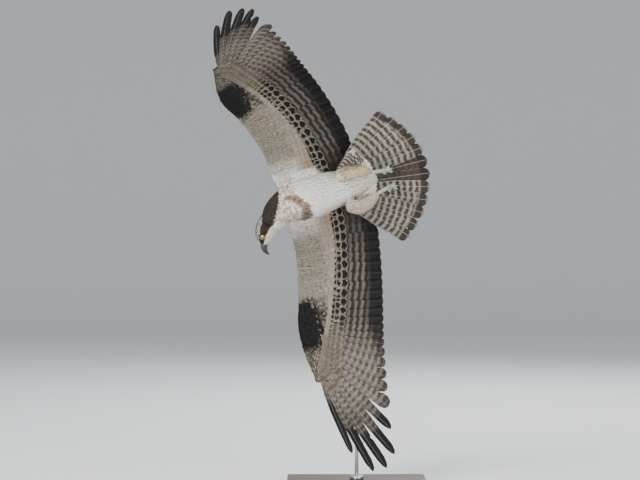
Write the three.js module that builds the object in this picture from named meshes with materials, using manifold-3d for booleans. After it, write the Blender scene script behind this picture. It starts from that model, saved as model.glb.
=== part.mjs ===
// An osprey in a steep banked turn, looking straight down, life size, held from behind by a plain stand.
// Millimetres, +Z up, with the origin at the middle of the underside of the stand's base.
//
// The bird is modelled in its own frame, with x forward, y to its left and z towards its back, and its
// group then turns it into the bank. Each wing is laid out flat, as if spread on a table, and a bend
// along the span lifts the arm and lets the hand droop.
import * as THREE from "three";
import { mergeVertices } from "three/addons/utils/BufferGeometryUtils.js";
import Module from "manifold-3d";

const wasm = await Module();
wasm.setup();

// Driving dimensions
const DEGREE = Math.PI / 180;
const GAP = 0.3; // clearance between pieces that touch

const FLIGHT = {
  heading: 178, // degrees, the way the bill's end of the body points, seen from above
  dive: 17, // nose down
  bank: 65, // left wing up, so that the belly faces the viewer
  height: 879, // body axis above the floor
  offset: [-118, -90], // body axis from the middle of the base
};

// Torso sections: along the body, half width, back above the axis, belly below it
const TORSO = [
  [138, 30, 26, 28],
  [112, 46, 34, 41],
  [72, 60, 40, 57],
  [20, 63, 42, 62],
  [-45, 59, 38, 55],
  [-100, 47, 31, 41],
  [-150, 33, 22, 27],
  [-190, 17, 12, 14],
];
const TORSO_BOXINESS = 0.92; // 1 is an ellipse

// The neck's middle line, which turns to the bird's right, and its half widths there
const NECK_LINE = [
  [90, 0, -6],
  [118, -8, -8],
  [141, -27, -10],
  [160, -45, -11],
];
const NECK_HALVES = [50, 46, 41, 33];
const NECK_CUT = 108; // where the neck leaves the torso, along the body

// The head looks to the bird's right, with its left side towards the belly
const HEAD = {
  centre: [179, -55, -12],
  turn: 58, // degrees to the right of the body's own heading
  lift: 18, // degrees that the bill's end rises towards the belly side
  cut: -20, // where the head leaves the neck, along its own axis
};
// Head sections: along the head, half width, crown above its axis, throat below it
const SKULL = [
  [-46, 15, 15, 20],
  [-36, 21, 22, 29],
  [-16, 26, 28, 35],
  [4, 27, 29, 36],
  [18, 24.5, 25.5, 32],
  [30, 18.5, 19.5, 25],
  [40, 12.5, 11.5, 18.5],
  [45, 9.5, 7, 14],
];
const EYE = { along: 20, up: 5, out: 16.5, radius: 9 };
const LID = { radius: 8.2, thickness: 1.5 };
const BILL = {
  // middle line of the hooked upper half: along the head, up
  line: [
    [34, -4],
    [46, -7],
    [55, -11],
    [62, -18],
    [66.5, -26],
    [66.5, -32],
  ],
  half: [9.5, 8.8, 7.6, 5.6, 2.6, 0.7],
  lower: [
    [33, -14],
    [46, -15],
    [57, -18],
  ],
  lowerHalf: [7.2, 6.4, 2.2],
};

// A wing laid flat, in the forward and outward directions. The fleshy core runs from the leading edge
// back to where the coverts end; rows are leading edge, rear of the core, half the thickness.
const CORE = [
  [128, 10, -30, 12, 17],
  [153, 62, 22, 66, 15],
  [160, 170, 36, 182, 11],
  [189, 290, 76, 318, 9],
  [218, 378, 108, 412, 7.5],
  [223, 450, 130, 484, 5.5],
  [214, 532, 160, 548, 3.2],
];
// Flight feathers: where the shafts leave the bone and where they end, from the innermost to the tenth
// primary, with half the width at the middle of each
const REMIGES = {
  count: 28,
  roots: [
    [34, 26],
    [46, 110],
    [64, 200],
    [92, 290],
    [124, 372],
    [146, 416],
    [164, 452],
    [180, 484],
    [196, 510],
  ],
  tips: [
    [-96, 26],
    [-103, 130],
    [-86, 240],
    [-62, 342],
    [-37, 432],
    [-12, 520],
    [18, 640],
    [60, 800],
    [164, 766],
  ],
};
const PRIMARIES = [
  // tips of the outer five primaries, from the sixth to the tenth, and half their width near the tip
  [36, 724, 13],
  [50, 800, 12],
  [84, 836, 12],
  [122, 837, 11],
  [174, 772, 12],
];
const VANE = { thickness: 0.8, step: 1.3, tier: 2.7 };
const WING = {
  root: 14, // height of the flat wing over the body axis
  back: 43, // how far behind the body's middle the flat wing's own origin lies
  camber: 14,
  camberMiddle: 60,
  camberHalf: 150,
};
const CHORD = { left: 0.965, right: 1 }; // the left wing's feathers are a little more folded
const CHORD_LINE = 60;
const SWEEP = { left: 0.055, right: 0 }; // how far each millimetre of the hand lies further back
const WRIST_OUT = 400;
// The bend along the span: distance out, and the slope there in degrees, up being positive
const BEND = {
  left: [
    [0, 2],
    [200, -8],
    [420, -35],
    [840, -50],
  ],
  right: [
    [0, 0],
    [200, -8],
    [420, -26],
    [840, -32],
  ],
};
const TAIL = {
  apex: [-22, 12], // the point that the fan spreads from
  middle: -4, // degrees that the fan's middle leans to the bird's right
  half: 43, // degrees from the middle to the outermost shaft
  root: 128, // from the apex to where the shafts leave the rump
  base: -7, // height of the fan at its root, over the body axis
  reach: 315, // from the apex to the middle tips
  outerReach: 288,
  pairs: 6,
  halfWidth: 22,
  rump: [84, 168], // how far from the apex the fleshy rump and its short coverts reach
  droop: 4, // degrees
  dome: 16, // how far the fan's sides lie lower than its middle, at its edge
};
const TAIL_COVERTS = { count: 12, reach: 0.5, halfWidth: 17 };

const LEG = {
  hip: [-70, 46, -30],
  knee: [-112, 58, -49],
  ankle: [-150, 47, -48],
  hock: [-173, 35, -43],
  sole: [-211, 26, -42],
  thighHalf: [20, 25, 18, 9],
  shankHalf: 6,
};
const TOE = { length: 30, half: 4.2, tipHalf: 3.1 };
const CLAW = { length: 24, half: 3.1 };

const STAND = {
  width: 420,
  depth: 330,
  thickness: 24,
  chamfer: 4,
  post: 12, // diameter
  postBehind: 150, // from the bird's body axis
  grip: [-124, 0, 0], // where the arm meets the bird, in the bird's own frame
  arm: 9, // diameter
  block: 26,
  collar: [22, 10], // radius and height
};

const COLOUR = {
  white: 0xe9e4da,
  brown: 0x3f3129,
  tan: 0xc9ad88,
  bill: 0x1d1d20,
  eye: 0xd9a51f,
  leg: 0xb6bcae,
  claw: 0x17171a,
  wood: 0x6b4a30,
  steel: 0x8d9094,
};

// Shaping tools

// A smooth function through rows of numbers, keyed by each row's first number or, if keyed is false,
// by the row's place from 0 to 1.
function smooth(rows, keyed = true) {
  const keys = rows.map((row, i) => (keyed ? row[0] : i / (rows.length - 1)));
  const flip = keys[0] > keys[keys.length - 1];
  const sign = flip ? -1 : 1;
  const values = rows.map((row) => (keyed ? row.slice(1) : row));
  const size = values[0].length;
  const track = new THREE.CubicInterpolant(
    keys.map((k) => k * sign),
    values.flat(),
    size,
  );
  return (key) => Array.from(track.evaluate(key * sign));
}

// A closed mesh as a solid, turned inside out first if its faces point inwards.
function solidOf(geometry) {
  const bare = geometry.clone();
  bare.deleteAttribute("normal");
  bare.deleteAttribute("uv");
  const merged = mergeVertices(bare, 1e-4);
  const vertProperties = new Float32Array(merged.attributes.position.array);
  const triVerts = new Uint32Array(merged.index.array);
  const made = new wasm.Manifold(new wasm.Mesh({ numProp: 3, vertProperties, triVerts }));
  if (made.volume() > 0) return made;
  for (let i = 0; i < triVerts.length; i += 3) {
    [triVerts[i + 1], triVerts[i + 2]] = [triVerts[i + 2], triVerts[i + 1]];
  }
  return new wasm.Manifold(new wasm.Mesh({ numProp: 3, vertProperties, triVerts }));
}

function geometryOf(solid) {
  const mesh = solid.getMesh();
  const geometry = new THREE.BufferGeometry();
  geometry.setAttribute("position", new THREE.BufferAttribute(mesh.vertProperties, 3));
  geometry.setIndex(new THREE.BufferAttribute(mesh.triVerts, 1));
  geometry.computeVertexNormals();
  return geometry;
}

const fused = (pieces) => wasm.Manifold.union(pieces);

// Only the largest closed surface of a solid: loose scraps go and sealed hollows are filled.
function largest(solid) {
  const mesh = solid.getMesh();
  const [points, corners] = [mesh.vertProperties, mesh.triVerts];
  const owner = Uint32Array.from({ length: points.length / 3 }, (_, i) => i);
  const find = (i) => {
    while (owner[i] !== i) i = owner[i] = owner[owner[i]];
    return i;
  };
  for (let i = 0; i < corners.length; i += 3) {
    owner[find(corners[i + 1])] = find(corners[i]);
    owner[find(corners[i + 2])] = find(corners[i]);
  }
  const [a, b, c] = [new THREE.Vector3(), new THREE.Vector3(), new THREE.Vector3()];
  const volumes = new Map();
  for (let i = 0; i < corners.length; i += 3) {
    [a, b, c].forEach((v, k) => v.fromArray(points, 3 * corners[i + k]));
    const shell = find(corners[i]);
    volumes.set(shell, (volumes.get(shell) ?? 0) + a.dot(b.cross(c)));
  }
  const best = [...volumes].reduce((p, q) => (q[1] > p[1] ? q : p))[0];
  const kept = [];
  for (let i = 0; i < corners.length; i += 3) {
    if (find(corners[i]) === best) kept.push(corners[i], corners[i + 1], corners[i + 2]);
  }
  const shell = new THREE.BufferGeometry();
  shell.setAttribute("position", new THREE.BufferAttribute(points, 3));
  shell.setIndex(kept);
  return solidOf(shell);
}

// A closed tube: at(t, angle) is the skin's point, t from 0 to 1 along it, and middle(t) its middle line.
function tube(at, middle, sides, steps) {
  const geometry = new THREE.CylinderGeometry(1, 1, 1, sides, steps);
  const p = geometry.attributes.position;
  for (let i = 0; i < p.count; i++) {
    const t = 0.5 - p.getY(i);
    const radius = Math.min(1, Math.hypot(p.getX(i), p.getZ(i)));
    const skin = at(t, Math.atan2(p.getX(i), p.getZ(i)));
    const point = middle(t).lerp(skin, radius);
    p.setXYZ(i, point.x, point.y, point.z);
  }
  return solidOf(geometry);
}

const power = (v, p) => Math.sign(v) * Math.abs(v) ** p;

// A tube whose sections stand across a straight axis: frame has origin, forward, left and up, and rows
// give the place along it, half width, height above and depth below.
function sectioned(rows, frame, sides, steps, grown = 0, boxiness = 1) {
  const size = smooth(rows);
  const first = rows[0][0];
  const last = rows[rows.length - 1][0];
  const along = (t) => first + (last - first) * t;
  const middle = (t) => frame.origin.clone().addScaledVector(frame.forward, along(t));
  const at = (t, angle) => {
    const [half, above, below] = size(along(t));
    const across = power(Math.cos(angle), boxiness) * (half + grown);
    const side = Math.sin(angle) > 0 ? above : below;
    const rise = power(Math.sin(angle), boxiness) * (side + grown);
    return middle(t).addScaledVector(frame.left, across).addScaledVector(frame.up, rise);
  };
  return tube(at, middle, sides, steps);
}

// A tapered tube along points, with a half width for each point.
function limb(points, halves, sides, steps, grown = 0) {
  const curve = new THREE.CatmullRomCurve3(points);
  const half = smooth(halves.map((h) => [h]), false);
  const frames = curve.computeFrenetFrames(steps, false);
  const middle = (t) => curve.getPoint(t);
  const at = (t, angle) => {
    const i = Math.round(t * steps);
    const r = half(t)[0] + grown;
    return middle(t)
      .addScaledVector(frames.normals[i], Math.cos(angle) * r)
      .addScaledVector(frames.binormals[i], Math.sin(angle) * r);
  };
  return tube(at, middle, sides, steps);
}

const vector = (list) => new THREE.Vector3(...list);

// The part of a solid ahead of a plane, or behind it, with half the gap left on its own side.
function ahead(solid, point, normal) {
  return solid.trimByPlane(normal.toArray(), point.dot(normal) + GAP / 2);
}
function behind(solid, point, normal) {
  const back = normal.clone().negate();
  return solid.trimByPlane(back.toArray(), point.dot(back) + GAP / 2);
}

// Body, neck and head

const bodyFrame = {
  origin: vector([0, 0, 0]),
  forward: vector([1, 0, 0]),
  left: vector([0, 1, 0]),
  up: vector([0, 0, 1]),
};
const torsoSolid = (grown) => sectioned(TORSO, bodyFrame, 20, 13, grown, TORSO_BOXINESS);

const headFrame = (() => {
  const turn = HEAD.turn * DEGREE;
  const lift = HEAD.lift * DEGREE;
  const forward = vector([
    Math.cos(turn) * Math.cos(lift),
    -Math.sin(turn) * Math.cos(lift),
    -Math.sin(lift),
  ]);
  const up = vector([Math.sin(turn), Math.cos(turn), 0]);
  return { origin: vector(HEAD.centre), forward, up, left: up.clone().cross(forward) };
})();

// A point in the head's own frame: along it, up and to its left.
function onHead(along, up, left = 0) {
  return headFrame.origin
    .clone()
    .addScaledVector(headFrame.forward, along)
    .addScaledVector(headFrame.up, up)
    .addScaledVector(headFrame.left, left);
}

function ball(centre, radius, sides = 12) {
  const geometry = new THREE.SphereGeometry(radius, sides, Math.round(sides / 2));
  return solidOf(geometry.translate(centre.x, centre.y, centre.z));
}

function eyeCentre(side) {
  return onHead(EYE.along, EYE.up, side * EYE.out);
}

// The ring of the lids, laid square to the line from the head's middle through the eye.
function lidRing(side) {
  const outward = headFrame.left.clone().multiplyScalar(side);
  outward.addScaledVector(headFrame.forward, 0.18).normalize();
  const ring = new THREE.TorusGeometry(LID.radius, LID.thickness, 5, 14);
  const turn = new THREE.Quaternion().setFromUnitVectors(vector([0, 0, 1]), outward);
  ring.applyQuaternion(turn);
  const place = eyeCentre(side).addScaledVector(outward, Math.sqrt(EYE.radius ** 2 - LID.radius ** 2) + 1.6);
  return solidOf(ring.translate(place.x, place.y, place.z));
}

// The strong brow that shades each eye, from the lores back over it.
function browRidge(side) {
  const points = [
    onHead(37, 4, side * 9.5),
    onHead(27, 13.5, side * 16.5),
    onHead(14, 17, side * 20),
    onHead(-2, 16, side * 21),
  ];
  return limb(points, [2.2, 4.4, 4.2, 1.5], 6, 5);
}

function billHalf(line, halves, flat, lift, grown = 0) {
  const curve = new THREE.CatmullRomCurve3(line.map(([along, up]) => onHead(along, up)));
  const half = smooth(halves.map((h) => [h]), false);
  const middle = (t) => curve.getPoint(t);
  const at = (t, angle) => {
    const ahead = curve.getTangent(t);
    const up = ahead.clone().cross(headFrame.left).normalize().negate();
    const r = half(t)[0] + grown;
    const rise = Math.sin(angle) * (r * lift + grown * (1 - lift));
    return middle(t)
      .addScaledVector(headFrame.left, Math.cos(angle) * (r * flat + grown * (1 - flat)))
      .addScaledVector(up, rise);
  };
  return tube(at, middle, 10, 8);
}
const upperBill = (grown) => billHalf(BILL.line, BILL.half, 0.82, 1, grown);
const lowerBill = (grown) => billHalf(BILL.lower, BILL.lowerHalf, 0.95, 0.55, grown);

// Torso and neck in one, as the wings meet them.
function bodySolid(grown) {
  return fused([torsoSolid(grown), limb(NECK_LINE.map(vector), NECK_HALVES, 18, 6, grown)]);
}

function makeFront() {
  const head = sectioned(SKULL, headFrame, 18, 12, 0, 0.95);
  const dressed = fused([bodySolid(0), head, ...[1, -1].flatMap((s) => [lidRing(s), browRidge(s)])]);
  const neckCut = vector([NECK_CUT, 0, 0]);
  const neckWay = vector([0.96, -0.28, 0]).normalize();
  const headCut = onHead(HEAD.cut, 0);
  const headWay = headFrame.forward;
  const front = ahead(dressed, neckCut, neckWay);
  let skull = ahead(front, headCut, headWay);
  for (const side of [1, -1]) {
    skull = skull.subtract(ball(eyeCentre(side), EYE.radius + GAP));
  }
  skull = skull.subtract(upperBill(GAP)).subtract(lowerBill(GAP));
  return {
    torso: behind(dressed, neckCut, neckWay),
    neck: largest(behind(front, headCut, headWay)),
    head: largest(skull),
  };
}

// Wings

// The flat wing bent along its span: distance out becomes a place across and up.
function bendAt(knots, out) {
  let across = 0;
  let up = 0;
  for (let i = 0; i < knots.length - 1; i++) {
    const [from, a] = knots[i];
    const [to, b] = knots[i + 1];
    const start = a * DEGREE;
    const rate = ((b - a) * DEGREE) / (to - from);
    const last = i === knots.length - 2;
    const run = Math.min(out, last ? Infinity : to) - from;
    const slope = start + rate * run;
    if (Math.abs(rate) < 1e-9) {
      across += run * Math.cos(start);
      up += run * Math.sin(start);
    } else {
      across += (Math.sin(slope) - Math.sin(start)) / rate;
      up += (Math.cos(start) - Math.cos(slope)) / rate;
    }
    if (last || out <= to) return { across, up, slope };
  }
}

// Places a flat point (forward, out, height) of one wing in the bird's frame.
function wingPlacer(side, knots, sweep, chord) {
  return (flatForward, out, height) => {
    const folded = CHORD_LINE + (flatForward - CHORD_LINE) * (flatForward < CHORD_LINE ? chord : 1);
    const forward = folded - sweep * Math.max(0, out - WRIST_OUT);
    const { across, up, slope } = bendAt(knots, out);
    const arch = 1 - ((forward - WING.camberMiddle) / WING.camberHalf) ** 2;
    const flatter = THREE.MathUtils.smoothstep(out, 400, 800);
    const h = height + WING.camber * Math.max(arch, -0.6) * (1 - 0.7 * flatter);
    return vector([forward - WING.back, side * (across - h * Math.sin(slope)), WING.root + up + h * Math.cos(slope)]);
  };
}

// How a wing's thickness runs from the leading edge (0) to the rear of a slab (1).
const slabThickness = (c, rear) => rear + (1 - rear) * Math.min(1, 2.1 * Math.sqrt(c)) * (1 - c) ** 0.9;

// A slab of wing between a leading and a rear edge, given by rows of [lead x, lead y, rear x, rear y, half].
function slab(rows, place, rear, sides, steps) {
  const row = smooth(rows, false);
  const chord = (t, c, height) => {
    const [lx, ly, rx, ry, half] = row(t);
    return place(lx + (rx - lx) * c, ly + (ry - ly) * c, height * half);
  };
  const middle = (t) => chord(t, 0.5, 0);
  const at = (t, angle) => {
    const c = (1 - Math.cos(angle)) / 2;
    const edge = Math.min(1, Math.abs(Math.sin(angle)) * 4);
    return chord(t, c, Math.sign(Math.sin(angle)) * slabThickness(c, rear) * edge);
  };
  return tube(at, middle, sides, steps);
}

// One vane: a thin closed blade on a straight flat shaft from root to tip. Its stations give the share of
// the length and of the half width; lean raises one edge over the next vane's lower one.
function blade(root, tip, halfWidth, stations, height, lean, place) {
  const shaft = new THREE.Vector2(tip[0] - root[0], tip[1] - root[1]);
  const across = new THREE.Vector2(-shaft.y, shaft.x).normalize();
  const points = [];
  for (const [u, share] of stations) {
    for (const edge of [-1, 1]) {
      const c = edge * halfWidth * share;
      const x = root[0] + shaft.x * u + across.x * c;
      const y = root[1] + shaft.y * u + across.y * c;
      const h = height(u) + lean(u) * c;
      for (const skin of [-1, 1]) points.push(...place(x, y, h + (skin * VANE.thickness) / 2).toArray());
    }
  }
  const faces = [];
  const quad = (p, q, r, t) => faces.push(p, q, r, p, r, t);
  for (let i = 0; i < stations.length - 1; i++) {
    const a = 4 * i;
    const b = a + 4;
    quad(a, a + 2, b + 2, b);
    quad(a + 3, a + 1, b + 1, b + 3);
    faces.push(a + 1, a, b, a + 1, b, b + 1);
    faces.push(a + 2, a + 3, b + 3, a + 2, b + 3, b + 2);
  }
  const end = 4 * (stations.length - 1);
  quad(1, 3, 2, 0);
  quad(end, end + 2, end + 3, end + 1);
  const geometry = new THREE.BufferGeometry();
  geometry.setAttribute("position", new THREE.Float32BufferAttribute(points, 3));
  geometry.setIndex(faces);
  return solidOf(geometry);
}

const LONG_VANE = [[0, 0.45], [0.5, 1], [0.93, 0.75], [1, 0.25]];
const FINGER = [[0, 0.45], [0.4, 1.25], [0.66, 0.95], [0.93, 0.7], [1, 0.15]];
const SHORT_VANE = [[0, 0.6], [0.8, 1], [1, 0.3]];

// A row of vanes whose roots and tips run along two curves. Where the row lies is its height, and each
// vane's lean keeps it a step above the next.
function vaneRow({ roots, tips, count, spread, reachAt = () => 1, stations, height, place, special }) {
  const rootAt = smooth(roots, false);
  const tipAt = smooth(tips, false);
  const ends = (s) => [rootAt(s), special?.(s) ?? tipAt(s)];
  const vanes = [];
  for (let i = 0; i < count; i++) {
    const s = i / (count - 1);
    const [root, tip] = ends(s);
    const near = i < count - 1 ? (i + 1) / (count - 1) : (i - 1) / (count - 1);
    const [root2, tip2] = ends(near);
    const reach = reachAt(s);
    const to = [root[0] + (tip[0] - root[0]) * reach, root[1] + (tip[1] - root[1]) * reach];
    const length = Math.hypot(tip[0] - root[0], tip[1] - root[1]);
    const way = [(tip[0] - root[0]) / length, (tip[1] - root[1]) / length];
    const apart = (u) => {
      const v = reach * u;
      const dx = (root2[0] - root[0]) * (1 - v) + (tip2[0] - tip[0]) * v;
      const dy = (root2[1] - root[1]) * (1 - v) + (tip2[1] - tip[1]) * v;
      return Math.max(6, Math.abs(dx * way[1] - dy * way[0]));
    };
    const wide = spread(s, apart(0.5));
    const lean = (u) => VANE.step / Math.min(apart(u), 26);
    vanes.push(blade(root, to, wide, stations(s), () => height, lean, place));
  }
  return vanes;
}

function makeWing(name, side) {
  const place = wingPlacer(side, BEND[name], SWEEP[name], CHORD[name]);
  const core = slab(CORE, place, 0.62, 10, 10);
  const outer = REMIGES.count - PRIMARIES.length;
  const finger = (s) => {
    const k = Math.round(s * (REMIGES.count - 1)) - outer;
    return k >= 0 ? PRIMARIES[k] : undefined;
  };
  const row = { roots: REMIGES.roots, tips: REMIGES.tips, count: REMIGES.count, place, special: finger };
  const vanes = vaneRow({
    ...row,
    spread: (s, apart) => finger(s)?.[2] ?? Math.min(23, Math.max(14, apart * 0.8)),
    stations: (s) => (finger(s) ? FINGER : LONG_VANE),
    height: 0,
  });
  const coverts = {
    spread: (s, apart) => Math.min(16, Math.max(9, apart * 0.85)),
    stations: () => SHORT_VANE,
    reachAt: (s) => 0.52 - 0.14 * THREE.MathUtils.smoothstep(s, 0.6, 0.9),
  };
  for (const above of [1, -1]) {
    vanes.push(...vaneRow({ ...row, ...coverts, height: above * VANE.tier }));
  }
  return largest(fused([core, ...vanes]).subtract(bodySolid(GAP)));
}

// Tail

function tailPlacer(forward, out, height) {
  const [x, y] = [forward - TAIL.apex[0], out - TAIL.apex[1]];
  const radius = Math.hypot(x, y);
  const aside = Math.atan2(y, -x) - TAIL.middle * DEGREE;
  const fall = (radius - TAIL.root) * Math.tan(TAIL.droop * DEGREE);
  const dome = TAIL.dome * (1 - Math.cos(aside * 1.6)) * (radius / TAIL.reach);
  return vector([forward, out, TAIL.base + height - fall - dome]);
}

// A point of the fan: its radius from the apex, and degrees aside from the fan's middle, to the left.
function onFan(radius, aside) {
  const a = (aside + TAIL.middle) * DEGREE;
  return [TAIL.apex[0] - radius * Math.cos(a), TAIL.apex[1] + radius * Math.sin(a)];
}

// One side's tail feathers or coverts, from the middle outwards, each lying under the one before it.
function fanSide(side, pairs, start, reach, halfWidth, height, stations) {
  const step = TAIL.half / (pairs - 0.5);
  const vanes = [];
  for (let i = 0; i < pairs; i++) {
    const aside = side * step * (i + 0.5);
    const far = TAIL.outerReach + (TAIL.reach - TAIL.outerReach) * Math.cos(aside * DEGREE * 1.7);
    const end = TAIL.root + (far - TAIL.root) * reach;
    const apart = (u) => (start + (end - start) * u) * step * DEGREE;
    const lift = i === 0 && side > 0 ? 1.6 * VANE.step : 0;
    const lean = (u) => (-side * VANE.step) / apart(u);
    const rise = () => height + lift;
    vanes.push(blade(onFan(start, aside), onFan(end, aside), halfWidth, stations, rise, lean, tailPlacer));
  }
  return vanes;
}

function makeTail() {
  const rump = tube(
    (t, angle) => {
      const aside = -Math.cos(angle) * (TAIL.half + 5);
      const half = (8 - 2.5 * t) * Math.min(1, Math.abs(Math.sin(angle)) * 3);
      return tailPlacer(...onFan(TAIL.rump[0] + (TAIL.rump[1] - TAIL.rump[0]) * t, aside), Math.sign(Math.sin(angle)) * half);
    },
    (t) => tailPlacer(...onFan(TAIL.rump[0] + (TAIL.rump[1] - TAIL.rump[0]) * t, 0), 0),
    14,
    4,
  );
  const vanes = [];
  for (const side of [1, -1]) {
    vanes.push(...fanSide(side, TAIL.pairs, TAIL.root - 18, 1, TAIL.halfWidth, 0, LONG_VANE));
    for (const above of [1, -1]) {
      const { count, reach, halfWidth } = TAIL_COVERTS;
      vanes.push(...fanSide(side, count / 2, TAIL.root - 16, reach, halfWidth, above * VANE.tier, SHORT_VANE));
    }
  }
  return largest(fused([rump, ...vanes]).subtract(torsoSolid(GAP)));
}

// Legs

// A solid cut clear of another by the gap, forward and back, to both sides and below.
function clearOf(solid, other) {
  const ways = [[1, 0, 0], [-1, 0, 0], [0, 1, 0], [0, -1, 0], [0, 0, -1]];
  return ways.reduce((left, way) => left.subtract(other.translate(way.map((v) => v * GAP))), solid);
}

function makeLeg(side, tail) {
  const at = ([x, y, z]) => vector([x, side * y, z]);
  const thigh = limb([LEG.hip, LEG.knee, LEG.ankle, LEG.hock].map(at), LEG.thighHalf, 12, 8);
  const sole = at(LEG.sole);
  const hock = at(LEG.hock);
  const shank = limb([at(LEG.ankle), hock, sole], [LEG.shankHalf, LEG.shankHalf, LEG.shankHalf], 8, 3);
  const toes = [];
  const claws = [];
  const spread = [
    [-0.9, 0.6, 0.05],
    [-1, 0.1, -0.2],
    [-0.95, -0.4, 0],
    [0.2, 0.1, -1],
  ];
  for (const [dx, dy, dz] of spread) {
    const way = vector([dx, side * dy, dz]).normalize();
    const curl = vector([0.35, 0, -0.9]).normalize();
    const knuckle = sole.clone().addScaledVector(way, TOE.length * 0.55);
    const tip = knuckle.clone().addScaledVector(way, TOE.length * 0.3).addScaledVector(curl, TOE.length * 0.35);
    const heading = tip.clone().sub(knuckle).normalize();
    const past = tip.clone().addScaledVector(heading, 3);
    toes.push(behind(limb([sole.clone(), knuckle, past], [TOE.half, TOE.half, TOE.tipHalf], 6, 3), tip, heading));
    const bend = tip
      .clone()
      .addScaledVector(heading, CLAW.length * 0.45)
      .addScaledVector(curl, CLAW.length * 0.2);
    const point = bend.clone().addScaledVector(curl, CLAW.length * 0.5).addScaledVector(way, -CLAW.length * 0.12);
    const root = tip.clone().addScaledVector(heading, -3);
    claws.push(ahead(limb([root, bend, point], [CLAW.half, CLAW.half * 0.75, 0.35], 6, 5), tip, heading));
  }
  const hockWay = sole.clone().sub(hock).normalize();
  const whole = fused([shank, ...toes]);
  return {
    thigh: largest(behind(clearOf(thigh.subtract(torsoSolid(GAP)), tail), hock, hockWay)),
    foot: largest(ahead(whole, hock, hockWay)),
    claws,
  };
}

// Stand

function makeStand() {
  const { width, depth, thickness, chamfer } = STAND;
  const outline = new THREE.Shape();
  const w = width / 2 - chamfer;
  const d = depth / 2 - chamfer;
  outline.moveTo(-w, -d).lineTo(w, -d).lineTo(w, d).lineTo(-w, d).closePath();
  const board = new THREE.ExtrudeGeometry(outline, {
    depth: thickness - 2 * chamfer,
    bevelEnabled: true,
    bevelThickness: chamfer,
    bevelSize: chamfer,
    bevelSegments: 1,
  });
  board.translate(0, 0, chamfer);
  const grip = vector(STAND.grip).applyMatrix4(bird.matrixWorld);
  const post = { x: grip.x, y: grip.y + STAND.postBehind };
  const top = grip.z + STAND.block / 2;
  const upright = (radius, from, to, sides) => {
    const rod = new THREE.CylinderGeometry(radius, radius, to - from, sides);
    return rod.rotateX(90 * DEGREE).translate(post.x, post.y, (from + to) / 2);
  };
  const collarTop = thickness + GAP + STAND.collar[1];
  const block = new THREE.BoxGeometry(STAND.block, STAND.block, STAND.block);
  block.translate(post.x, post.y, top - STAND.block / 2);
  const reach = post.y - STAND.block / 2 - GAP;
  const arm = new THREE.CylinderGeometry(STAND.arm / 2, STAND.arm / 2, reach - grip.y, 12);
  arm.translate(grip.x, (reach + grip.y) / 2, grip.z);
  return {
    base: solidOf(board),
    collar: solidOf(upright(STAND.collar[0], thickness + GAP, collarTop, 20)),
    post: solidOf(upright(STAND.post / 2, collarTop + GAP, top - STAND.block - GAP, 14)),
    block: solidOf(block),
    arm: solidOf(arm),
  };
}

// Assembly

const bird = new THREE.Group();
bird.rotation.set(FLIGHT.bank * DEGREE, FLIGHT.dive * DEGREE, FLIGHT.heading * DEGREE, "ZYX");
bird.position.set(...FLIGHT.offset, FLIGHT.height);
bird.updateMatrixWorld(true);
const osprey = new THREE.Group();
osprey.add(bird);

function addPiece(group, name, solid, colour, roughness = 0.8, metalness = 0) {
  const material = new THREE.MeshStandardMaterial({ color: colour, roughness, metalness });
  const mesh = new THREE.Mesh(geometryOf(solid), material);
  mesh.name = name;
  group.add(mesh);
}

const front = makeFront();
const tail = makeTail();
const legs = { left: makeLeg(1, tail), right: makeLeg(-1, tail) };
const wings = { left: makeWing("left", 1), right: makeWing("right", -1) };
const stand = makeStand();

// The arm of the stand stops at the bird's back, a gap short of the feathers.
const birdHull = torsoSolid(GAP).transform(bird.matrixWorld.toArray());
stand.arm = largest(stand.arm.subtract(birdHull));

addPiece(bird, "torso", front.torso, COLOUR.white);
addPiece(bird, "neck", front.neck, COLOUR.white);
addPiece(bird, "head", front.head, COLOUR.white);
addPiece(bird, "bill_upper", upperBill(0), COLOUR.bill, 0.35);
addPiece(bird, "bill_lower", lowerBill(0).subtract(upperBill(GAP)), COLOUR.bill, 0.35);
addPiece(bird, "tail", tail, COLOUR.brown);
for (const [name, side] of [["left", 1], ["right", -1]]) {
  addPiece(bird, `eye_${name}`, ball(eyeCentre(side), EYE.radius), COLOUR.eye, 0.1);
  addPiece(bird, `wing_${name}`, wings[name], COLOUR.brown);
  addPiece(bird, `thigh_${name}`, legs[name].thigh, COLOUR.tan);
  addPiece(bird, `foot_${name}`, legs[name].foot, COLOUR.leg, 0.6);
  legs[name].claws.forEach((claw, i) => {
    addPiece(bird, `claw_${name}_${i + 1}`, claw, COLOUR.claw, 0.3);
  });
}
addPiece(osprey, "stand_base", stand.base, COLOUR.wood, 0.5);
addPiece(osprey, "stand_collar", stand.collar, COLOUR.steel, 0.3, 1);
addPiece(osprey, "stand_post", stand.post, COLOUR.steel, 0.3, 1);
addPiece(osprey, "stand_block", stand.block, COLOUR.steel, 0.3, 1);
addPiece(osprey, "stand_arm", stand.arm, COLOUR.steel, 0.3, 1);

export default osprey;
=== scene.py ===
"""A life-size osprey banking in flight on a plain display stand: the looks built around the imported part."""
import logging
import math
from dataclasses import dataclass, field
from enum import Enum
from typing import Callable, Sequence

import bmesh
import bpy
import numpy as np
from mathutils import Euler, Matrix, Vector
from mathutils.bvhtree import BVHTree


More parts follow.
